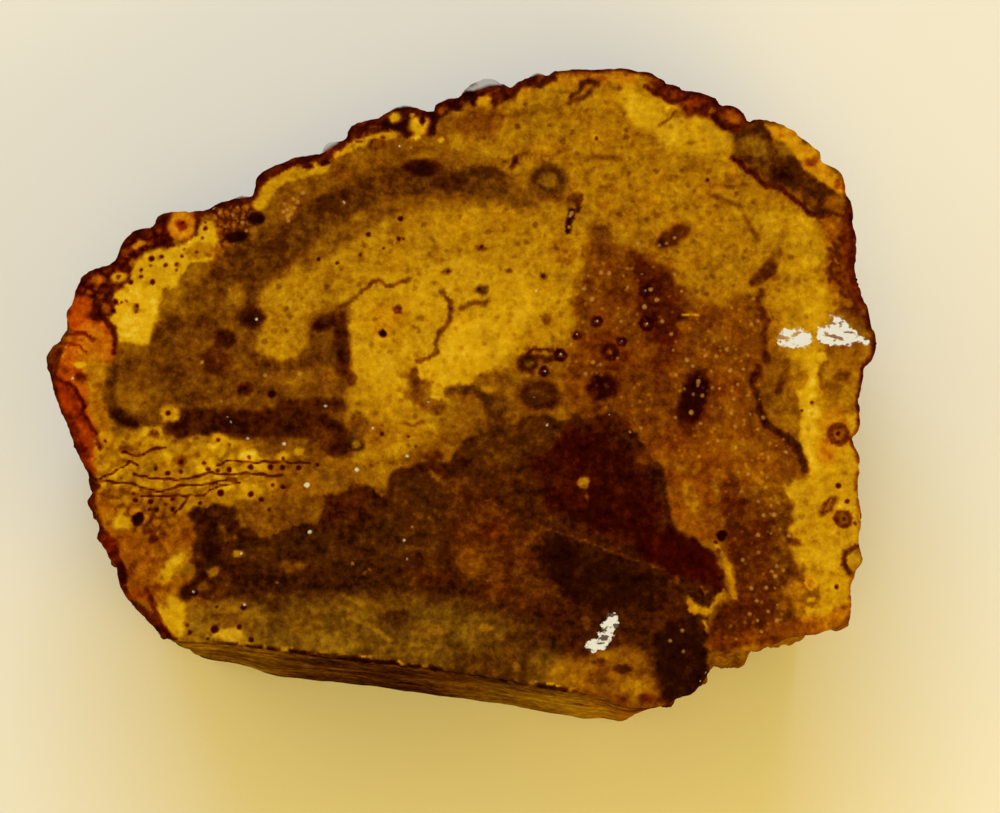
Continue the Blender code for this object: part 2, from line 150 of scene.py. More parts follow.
# Patches of the face, in the order they are laid: outline, tone, redness, strength, softness
PATCHES = [
    # gold of the middle and the brown country to its left
    ([(-30.5, 14), (-27, 17), (-24, 19.5), (-20, 22.5), (-16, 25.5), (-12.5, 27.4), (-8, 28), (-3, 29),
     (4, 28.6), (10, 27.6), (15, 27), (20, 26), (21, 22), (18.5, 18), (17.5, 12), (17, 6), (8, 3), (5, -1),
     (-3, -6), (-8, -11), (-15, -12.5), (-17, -8), (-17.5, -2), (-16.5, 3), (-17.2, 11), (-20, 11.5),
     (-23, 9.5), (-23, 5.5), (-25, 3.6), (-28, 3.3), (-30.8, 5), (-30.8, 8)], 0.68, -0.05, 1.0, 0.9),
    ([(-17, 11), (-15, 13.4), (-13, 15.4), (-8, 16), (-4, 18), (2, 19), (9, 17), (12, 12), (8, 7), (3, 3),
     (-3, 0), (-5, 4), (-8, 3), (-8.5, -3), (-14, -1), (-16.3, 3), (-16.8, 7)], 0.79, -0.05, 0.95, 1.2),
    ([(-1, 10), (-2.4, 7.6), (-3, 4.4), (-6.4, 3), (-5.4, 0), (-5, -2.4), (-1.4, -2.2), (0.6, -0.6),
     (3, 0.4), (6, 3.4), (9, 7), (10, 10), (7, 12), (3, 10.4)], 0.88, 0.0, 0.9, 0.9),
    ([(-7.3, 2.5), (-6.2, 1.8), (-5.8, -0.6), (-5.2, -2.7), (-2, -2.7), (-0.8, -1.3), (1, -0.9), (3, -1.6),
     (3.6, -3.4), (2, -4.6), (0, -4.4), (-2.5, -4.8), (-4.5, -5), (-6, -4), (-7.6, -2.5), (-8.5, -1),
     (-8, 0.6)], 0.50, 0.1, 0.95, 0.25),
    ([(-52.6, 5), (-47, 5.2), (-46.4, 8), (-45, 12), (-42.5, 15), (-41, 18), (-36, 18.6), (-33, 20),
     (-30.5, 14), (-30.8, 5), (-28, 3.4), (-24.5, 3.4), (-22.8, 6), (-22.6, 10), (-17.4, 11.2), (-17, 0),
     (-17.5, -8), (-16, -12), (-24, -11.2), (-33, -8.3), (-41, -9), (-46, -6.8), (-50, -7), (-52.6, -4)],
     0.40, -0.1, 0.95, 0.8),
    ([(-46.4, 7), (-43.5, 13.5), (-40.5, 17), (-36.5, 19), (-35, 22), (-29, 23.5), (-24, 27.5), (-18, 31.2),
     (-12, 33.4), (-4, 33.8), (4, 33.4), (7.4, 31), (9, 28.4), (5, 29), (-2, 28.8), (-9, 28.4), (-13, 27.2),
     (-17, 25), (-21, 22), (-25, 19.2), (-28.5, 16.4), (-31.4, 13), (-35, 15), (-40, 11), (-44, 6)], 0.31,
     -0.15, 0.9, 1.0),
    ([(-24, 27.5), (-18, 31.5), (-12, 34), (-6, 35), (2, 34.4), (6, 38), (4, 41), (-2, 39), (-4, 37.5),
     (-12, 36), (-18, 35), (-23, 31.5)], 0.44, 0.0, 0.9, 1.0),
    # top and upper right
    ([(-3, 37), (0, 42.5), (4, 43), (10, 46), (20, 48.4), (29, 47), (38, 42), (41, 37), (44, 32), (52, 26),
     (56, 20), (55, 5), (46, 6), (42, 10), (34, 12.5), (31, 18), (27, 20), (21, 22.5), (17, 29), (9, 32),
     (6, 35), (0, 35)], 0.63, 0.0, 0.95, 1.2),
    ([(25, 46.4), (28, 45), (31, 43.8), (33, 43.4), (31.6, 41.4), (34, 41.2), (38, 41), (41, 37),
     (40.5, 35), (36, 35), (32, 36.4), (29, 38.6), (26, 40.5), (24, 43.5)], 0.81, -0.05, 0.95, 0.7),
    ([(13, 46.6), (14.5, 48.2), (20, 48.8), (27, 48.4), (29, 46.6), (24, 46.8), (18, 45.6)], 0.68, 0.35,
     0.8, 0.8),
    ([(28.4, 46.2), (30, 45), (31.5, 43.9), (34, 44.2), (36, 45.2), (33.5, 46.6), (31, 47.4), (29, 47.4)],
     0.47, 0.6, 0.9, 0.5),
    ([(33, 44.8), (36, 45.4), (39, 44.4), (43, 42), (43.5, 40), (41, 38.8), (39.5, 40), (38.3, 41.5),
     (36.5, 41.8), (34.8, 41.2), (33.4, 42.4), (34.5, 43.5)], 0.34, 0.45, 0.95, 0.5),
    ([(43.4, 40.2), (46.0, 40.2), (47.6, 38.2), (49.3, 36.2), (51.3, 33.5), (53.8, 31.4), (57.4, 28.6),
     (59.3, 27), (59.0, 25), (56, 25.6), (53.5, 26.4), (52, 28), (49.5, 29.8), (46.8, 30.4), (45.3, 32),
     (43, 34), (41.8, 35), (42.4, 37), (41.6, 38.6), (42.5, 39.5)], 0.24, -0.05, 1.0, 0.5),
    ([(42, 38.6), (45.5, 38.6), (47.5, 36), (46.5, 34), (43.6, 34.8), (42, 36)], 0.38, -0.6, 0.85, 0.7),
    ([(48, 33.4), (51, 31), (55, 28.6), (57.5, 27.6), (56, 26.2), (52, 28.6), (49, 30.6), (47.4, 31.6)],
     0.11, -0.2, 0.85, 0.6),
    ([(46.2, 40.4), (49, 39.8), (52, 37.4), (54.3, 35.6), (55, 33.6), (57, 32.6), (58, 30.5), (57.6, 28.6),
     (54.3, 31.3), (51.8, 33.4), (49.8, 36.1), (47.4, 38.4)], 0.78, 0.25, 1.0, 0.3),
    ([(43.5, 25), (48, 26.5), (53, 25.5), (55.5, 21), (55.3, 12), (54.6, 6), (53, 0), (50, 2), (48, 6),
     (49, 12), (49.5, 16), (47, 21)], 0.74, -0.05, 0.85, 1.2),
    ([(37, 28), (43.6, 26), (47, 20.5), (44.5, 15.5), (45, 12.5), (41, 12.2), (36, 14), (33.5, 19),
     (35, 24)], 0.64, 0.0, 0.7, 1.2),
    ([(56.2, 22), (59.4, 22.5), (60.4, 14), (62, 8), (60, 9.5), (56.6, 11), (56.8, 15), (55.2, 16.4),
     (55.6, 19)], 0.36, 0.3, 0.9, 0.6),
    # right band of yellow
    ([(50, 2), (51, -4), (51, -8), (52.4, -12), (51.8, -14.6), (48.2, -15.6), (49.6, -19), (49, -22.4),
     (51, -24.8), (48.6, -24.6), (49.6, -27.2), (51, -29.4), (53.6, -31), (52.6, -34.5), (50, -36.5),
     (54, -37.6), (57.6, -36), (58, -31), (59.2, -26), (61, -12), (61, -8), (61, -5), (61, 1), (56, 3)],
     0.77, -0.05, 1.0, 0.35),
    ([(53.8, 5), (54.6, 2), (53.8, -2), (54.4, -5.4), (56, -5.4), (59.6, -5), (62, -4), (62, 6), (58, 5.4)],
     0.58, 0.05, 0.9, 0.7),
    ([(51.4, 3.4), (53.4, 4.6), (53.6, 2), (53.0, -2), (53.6, -6), (53, -9), (54, -13), (52.6, -15),
     (51.8, -11.5), (51.2, -8), (51.2, -2)], 0.87, -0.05, 0.9, 0.6),
    ([(51.4, 14), (54.2, 14), (54.6, 10), (53.4, 8.6), (52, 9)], 0.84, 0.0, 0.8, 0.8),
    ([(53.5, -5), (57, -4), (58.6, -9), (56, -13), (53.5, -12)], 0.70, 0.4, 0.7, 1.0),
    ([(50, -35.6), (54, -35), (57.4, -33.5), (57.2, -36.2), (51, -38.4)], 0.66, 0.4, 0.8, 0.8),
    # dotted brown country of the middle right
    ([(19.5, 24), (22, 23), (25, 20.5), (28, 20), (31, 17.8), (33, 16.5), (34.6, 13), (36.5, 11.4),
     (41, 12.4), (45.5, 13.5), (46.4, 9), (46, 3), (45, -2), (45.6, -6), (50, -9), (51.4, -13), (48, -15.6),
     (40, -14.4), (33, -10.6), (27, -9), (24, -5.4), (19, -5.4), (15.5, -3), (15.6, 1), (16.8, 5), (17, 10),
     (18, 16)], 0.39, 0.2, 0.95, 1.3),
    ([(25.5, 19.8), (28, 18.8), (31, 17.6), (33, 14.6), (33.3, 11), (33, 7), (31.4, 4), (29.6, 6), (27, 9),
     (26.3, 12), (26, 16)], 0.20, 0.4, 0.9, 1.2),
    ([(17.8, 7.6), (21, 8), (24, 6.8), (26, 4), (23, 2.4), (19, 3.2)], 0.30, 0.5, 0.7, 1.0),
    ([(36, 8.6), (39, 10.4), (43, 11.6), (45, 9), (44.6, 3), (43.4, -0.6), (45, -6), (50.4, -11),
     (51, -13.6), (47, -13), (41.5, -8), (39, -3), (38.6, 2.6)], 0.43, 0.15, 0.8, 1.2),
    ([(-45.8, 10.4), (-44.6, 13.6), (-43, 15.2), (-40.5, 17.6), (-37, 19), (-38, 16.4), (-41.4, 13),
     (-43.2, 10.6)], 0.58, -0.1, 0.85, 1.3),
    ([(26, -8.8), (31, -7.4), (38, -6.5), (43, -8), (48, -13), (44, -16), (38, -15), (31, -12.4),
     (27.4, -10.6)], 0.48, 0.25, 0.85, 0.9),
    ([(30.8, -12.6), (33.5, -14.2), (36.8, -15.6), (38.1, -18), (38.3, -21), (37.7, -24.4), (35, -23.7),
     (32.5, -22.6), (31.1, -20), (30.9, -16)], 0.47, 0.3, 1.0, 0.35),
    ([(39, -15.6), (41.8, -18), (45.6, -18.6), (49.5, -18.8), (49, -22.4), (50.6, -24.8), (48.6, -24.8),
     (49.6, -27.2), (50.4, -29.4), (47.6, -31), (48, -34), (50, -36.6), (47, -38.8), (43, -39.8),
     (37, -40.8), (36.8, -36.4), (39.4, -33), (41, -31), (40.6, -28), (38.8, -24)], 0.27, 0.25, 1.0, 0.6),
    ([(46, -17), (48, -16.6), (49.6, -19), (49, -22.4), (48.6, -24.8), (49.6, -27.2), (50, -30), (48, -33),
     (49.6, -36.6), (47, -37.6), (46.4, -30), (46.4, -22)], 0.38, 0.0, 0.9, 0.9),
    # left rim
    ([(-59.5, 12), (-57, 12.6), (-55.2, 10.2), (-53, 8.6), (-52, 5.5), (-52.8, 1), (-53.2, -4), (-55, -8),
     (-60, -5), (-61.8, 0), (-62.5, 4), (-61, 8.5)], 0.63, 0.75, 1.0, 0.6),
    ([(-59.3, 12.3), (-57, 12.4), (-55.8, 10), (-56.4, 8), (-59, 7.4), (-60.6, 9.6)], 0.72, 1.0, 0.9, 0.6),
    ([(-62.3, 2), (-62.3, 6.4), (-60.6, 8.2), (-59.5, 6.4), (-60.2, 3), (-60.6, 0.5)], 0.50, 0.8, 0.9, 0.5),
    ([(-61.6, 1), (-58.6, -0.4), (-57.2, -2), (-56.6, -4.6), (-55, -7), (-54.2, -9.6), (-53.4, -13),
     (-54.4, -15), (-57.6, -12), (-61.4, -4)], 0.44, 1.0, 1.0, 0.35),
    ([(-60.4, -1), (-58.4, -1.8), (-57.8, -4.4), (-59.4, -4.4)], 0.54, 0.9, 0.9, 0.5),
    ([(-57.4, 8.6), (-54.4, 8.6), (-52.8, 6), (-53, 3), (-57.4, 3), (-58, 5.4)], 0.70, 0.5, 0.9, 0.8),
    ([(-57.6, -6.4), (-56, -6.6), (-54.8, -9), (-55.8, -10)], 0.56, 0.9, 0.9, 0.5),
    ([(-55.6, -10.6), (-53.8, -10.4), (-52.4, -13.2), (-53.6, -14.6), (-55, -13.4)], 0.58, 0.75, 0.9, 0.5),
    ([(-57, 3.2), (-53.2, 3), (-52.9, -3), (-52.2, -7.4), (-54, -8), (-55.6, -5), (-56.2, -1)], 0.64, 0.15,
     0.9, 0.5),
    ([(-52.6, 14.2), (-50.2, 15.2), (-49.8, 17.2), (-48.8, 18.8), (-47.3, 20.2), (-45, 20.4), (-43.3, 20.6),
     (-42.5, 21.6), (-41, 22.2), (-39.6, 22.6), (-39.4, 25.8), (-37.2, 24.5), (-36.5, 21.5), (-37, 18.8),
     (-41, 18.2), (-41.8, 16.5), (-43, 14.9), (-45, 14.5), (-45.4, 12.5), (-46, 10.5), (-46.8, 8.2),
     (-47, 5.5), (-49, 6), (-51.5, 6), (-52.3, 8.5), (-53.5, 10.2), (-51.8, 11), (-52.3, 12.5)], 0.85,
     -0.05, 1.0, 0.3),
    ([(-52.4, 14), (-50, 14.8), (-45.2, 14.6), (-45.6, 11), (-47, 7), (-51.2, 6.6), (-52.6, 9.6)], 0.94,
     0.0, 0.9, 0.5),
    ([(-58.5, 12.5), (-58.3, 15.5), (-55.8, 17.6), (-52.4, 18.8), (-51.8, 21.2), (-49.5, 23.6),
     (-46.8, 24.4), (-45.6, 26), (-44, 26.3), (-44.6, 23), (-43.4, 21), (-47.6, 20.6), (-50, 18.8),
     (-50.2, 15.6), (-52.8, 14.4), (-52.2, 11.2), (-54.2, 10.4), (-55.6, 11.4)], 0.13, 0.6, 1.0, 0.35),
    ([(-57, 11.4), (-56.6, 14), (-54, 14.6), (-52.6, 13.4), (-52.6, 11), (-55, 10.8)], 0.30, 0.6, 0.8, 0.5),
    ([(-59.6, 11.4), (-58.6, 13.8), (-56.8, 13.2), (-55.6, 11), (-56.6, 9.4), (-58.6, 9.4)], 0.64, 0.95,
     0.9, 0.8),
    ([(-49.4, 23.4), (-46.6, 24.2), (-45.4, 25.8), (-44.4, 24), (-45, 22), (-48, 21.9)], 0.26, 0.7, 0.8,
     0.5),
    ([(-38, 18.4), (-36.4, 21), (-37, 24.6), (-39, 26.4), (-35, 27.6), (-32.5, 28.4), (-31.6, 26.2),
     (-33, 24), (-34.5, 21)], 0.46, 0.15, 0.9, 0.5),
    # speckled gold of the lower left
    ([(-55, -9), (-53, -7.2), (-48, -6.9), (-45, -7.4), (-43.6, -9.4), (-40.4, -8.2), (-37, -8), (-34, -9),
     (-30, -9.8), (-25, -10.2), (-22.5, -11.8), (-17, -12.2), (-12, -11), (-9, -13), (-15, -15.6),
     (-20.5, -17), (-24, -18.6), (-30, -18.6), (-37, -18.6), (-41.5, -20.2), (-46, -24), (-52, -22),
     (-54.5, -17)], 0.65, 0.0, 1.0, 0.5),
    ([(-31, -10), (-25, -10.2), (-22, -11.8), (-17, -12.2), (-13, -12.6), (-15, -15.6), (-20.5, -17),
     (-24, -18.6), (-31, -18.6)], 0.49, 0.0, 0.85, 1.2),
    ([(-54.2, -18), (-52, -15.8), (-48, -18), (-44, -20), (-40, -20.4), (-38.6, -23), (-39.4, -27),
     (-41, -32), (-43, -34), (-46, -35), (-49.5, -31.5), (-51, -27), (-53.5, -23)], 0.53, 0.2, 1.0, 0.6),
    ([(-48.6, -8.6), (-47.4, -7.2), (-45, -7), (-44.6, -8.4), (-45.4, -9.6), (-47.6, -9.6)], 0.87, -0.1,
     1.0, 0.35),
    ([(-41.2, -12.6), (-39.6, -11.6), (-37.2, -11.4), (-36.8, -12.6), (-38.6, -14.2), (-41, -14)], 0.90,
     -0.1, 0.95, 0.5),
    ([(-44.6, -10.4), (-43.2, -10), (-42.4, -12), (-44.4, -12.6)], 0.80, 0.0, 0.9, 0.4),
    # lower dark country
    ([(-39.5, -19.4), (-36, -18.6), (-33, -19.6), (-31, -22), (-28.6, -23.4), (-24.5, -21.8),
     (-21.2, -21.8), (-20.3, -19.6), (-20.2, -17.4), (-17.5, -17), (-16, -15.6), (-14, -15.8), (-12, -17.4),
     (-11, -17), (-10.2, -14.5), (-9, -13.2), (-7, -12.8), (-2, -12), (1.5, -8.4), (6, -6.6), (12, -5),
     (16, -5.4), (19, -5.3), (24, -5), (25.6, -7.4), (28, -10.6), (30.6, -13), (30.9, -17), (31.2, -20),
     (32.6, -22.7), (35, -23.9), (37.6, -26), (39.1, -28.6), (39.4, -31.4), (37, -34.6), (36.4, -37),
     (36.8, -43), (34, -47), (28, -49), (20, -48), (0, -46), (-16, -44), (-28, -43), (-32, -34), (-38, -33),
     (-40, -27)], 0.19, 0.0, 1.0, 0.35),
    ([(-33, -24), (-24, -22.4), (-14, -23), (-8, -28), (-6, -32), (-20, -32), (-32, -31)], 0.20, -0.4, 0.8,
     1.4),
    ([(-33.5, -18.4), (-27, -17.6), (-20.6, -17.2), (-20.5, -20), (-21.4, -21.6), (-23.5, -21.5),
     (-26, -22), (-28, -23.2), (-30, -23.4), (-32.4, -21.8), (-34, -20)], 0.42, -0.1, 1.0, 0.4),
    ([(-20.4, -17), (-21.4, -14.6), (-19.6, -13.4), (-17.4, -13.8), (-15.4, -15.4), (-17.4, -16.8)], 0.50,
     -0.1, 0.9, 0.35),
    ([(-14.4, -13.2), (-10, -12.8), (-10.6, -14.6), (-11.2, -16.8), (-12.2, -17.2), (-14, -15.4)], 0.58,
     -0.1, 0.9, 0.35),
    ([(-20, -17.6), (-16, -15.8), (-12.2, -17.6), (-11, -19.5), (-13, -21.5), (-18, -21.5), (-21, -23)],
     0.23, 0.15, 0.8, 0.8),
    ([(-10, -15), (-6, -13.4), (-1, -15), (0, -22), (-4, -27), (-10, -27), (-16, -24), (-12, -19)], 0.25,
     -0.3, 0.8, 1.4),
    ([(-1, -17), (4, -18), (9, -20.5), (12, -23), (11, -27), (13, -31), (16, -34), (12, -35), (6, -33),
     (1, -30), (-2, -25)], 0.31, 0.15, 0.8, 1.2),
    ([(11, -25), (14, -23), (19, -24.4), (24, -26.6), (30, -30), (30.6, -33.4), (26, -35), (20, -34.6),
     (15.6, -32), (12, -28.6)], 0.08, -0.1, 0.85, 1.5),
    ([(26, -23.4), (31, -22), (34.8, -24), (37.4, -26.2), (38.9, -28.8), (38.4, -31), (34, -30),
     (30, -28.6), (26, -26)], 0.075, 0.65, 0.9, 0.7),
    ([(16, -7), (21.6, -7.4), (25, -11), (28, -15), (30, -20), (28, -24), (20, -23), (13, -19), (11, -12)],
     0.10, 0.5, 0.85, 1.4),
    ([(2, -6.6), (9, -5.4), (15, -6), (13, -10), (8, -13), (2, -13), (-1, -10)], 0.27, -0.3, 0.8, 0.9),
    ([(-36, -33.4), (-24, -32), (-16, -32.4), (-8, -32), (0, -33), (6, -35), (12, -38.6), (16, -42),
     (13, -46.4), (6, -47), (-6, -45.5), (-20, -44), (-33, -42), (-42, -40)], 0.42, -0.85, 0.95, 2.3),
    ([(-45.2, -33), (-42.5, -32.6), (-40.8, -33.6), (-40.4, -36), (-41.4, -38.6), (-44, -38.2),
     (-45.4, -35.4)], 0.83, -0.05, 1.0, 0.5),
    ([(-40.6, -34), (-34, -33.4), (-29, -34.6), (-29, -40.8), (-36, -40.4), (-41, -39.4)], 0.56, -0.5, 0.9,
     0.9),
    ([(-37, -38.6), (-36, -37.6), (-32.6, -37), (-31.8, -38.2), (-33, -39.2), (-35.4, -39.3)], 0.85, -0.2,
     0.95, 0.4),
    ([(28.6, -38.4), (31, -36.2), (34.6, -35.8), (36.4, -38), (36.9, -42), (37, -45), (34.4, -48),
     (31.6, -48.4), (29.5, -46.2), (29, -43)], 0.09, -0.2, 0.95, 0.5),
    ([(12.4, -43.4), (15, -41.4), (18.4, -42), (20, -40.4), (24, -39.6), (27.6, -41), (29, -44),
     (29.4, -47), (28, -50), (19, -49.6), (13, -47)], 0.53, 0.0, 0.9, 1.0),
    ([(33.6, -32.2), (34.6, -32.6), (35.6, -34), (37, -34), (38, -32.4), (38.8, -31), (39, -32.6),
     (37.4, -34.4), (36.4, -35.4), (33.8, -35)], 0.70, 0.05, 1.0, 0.25),
]

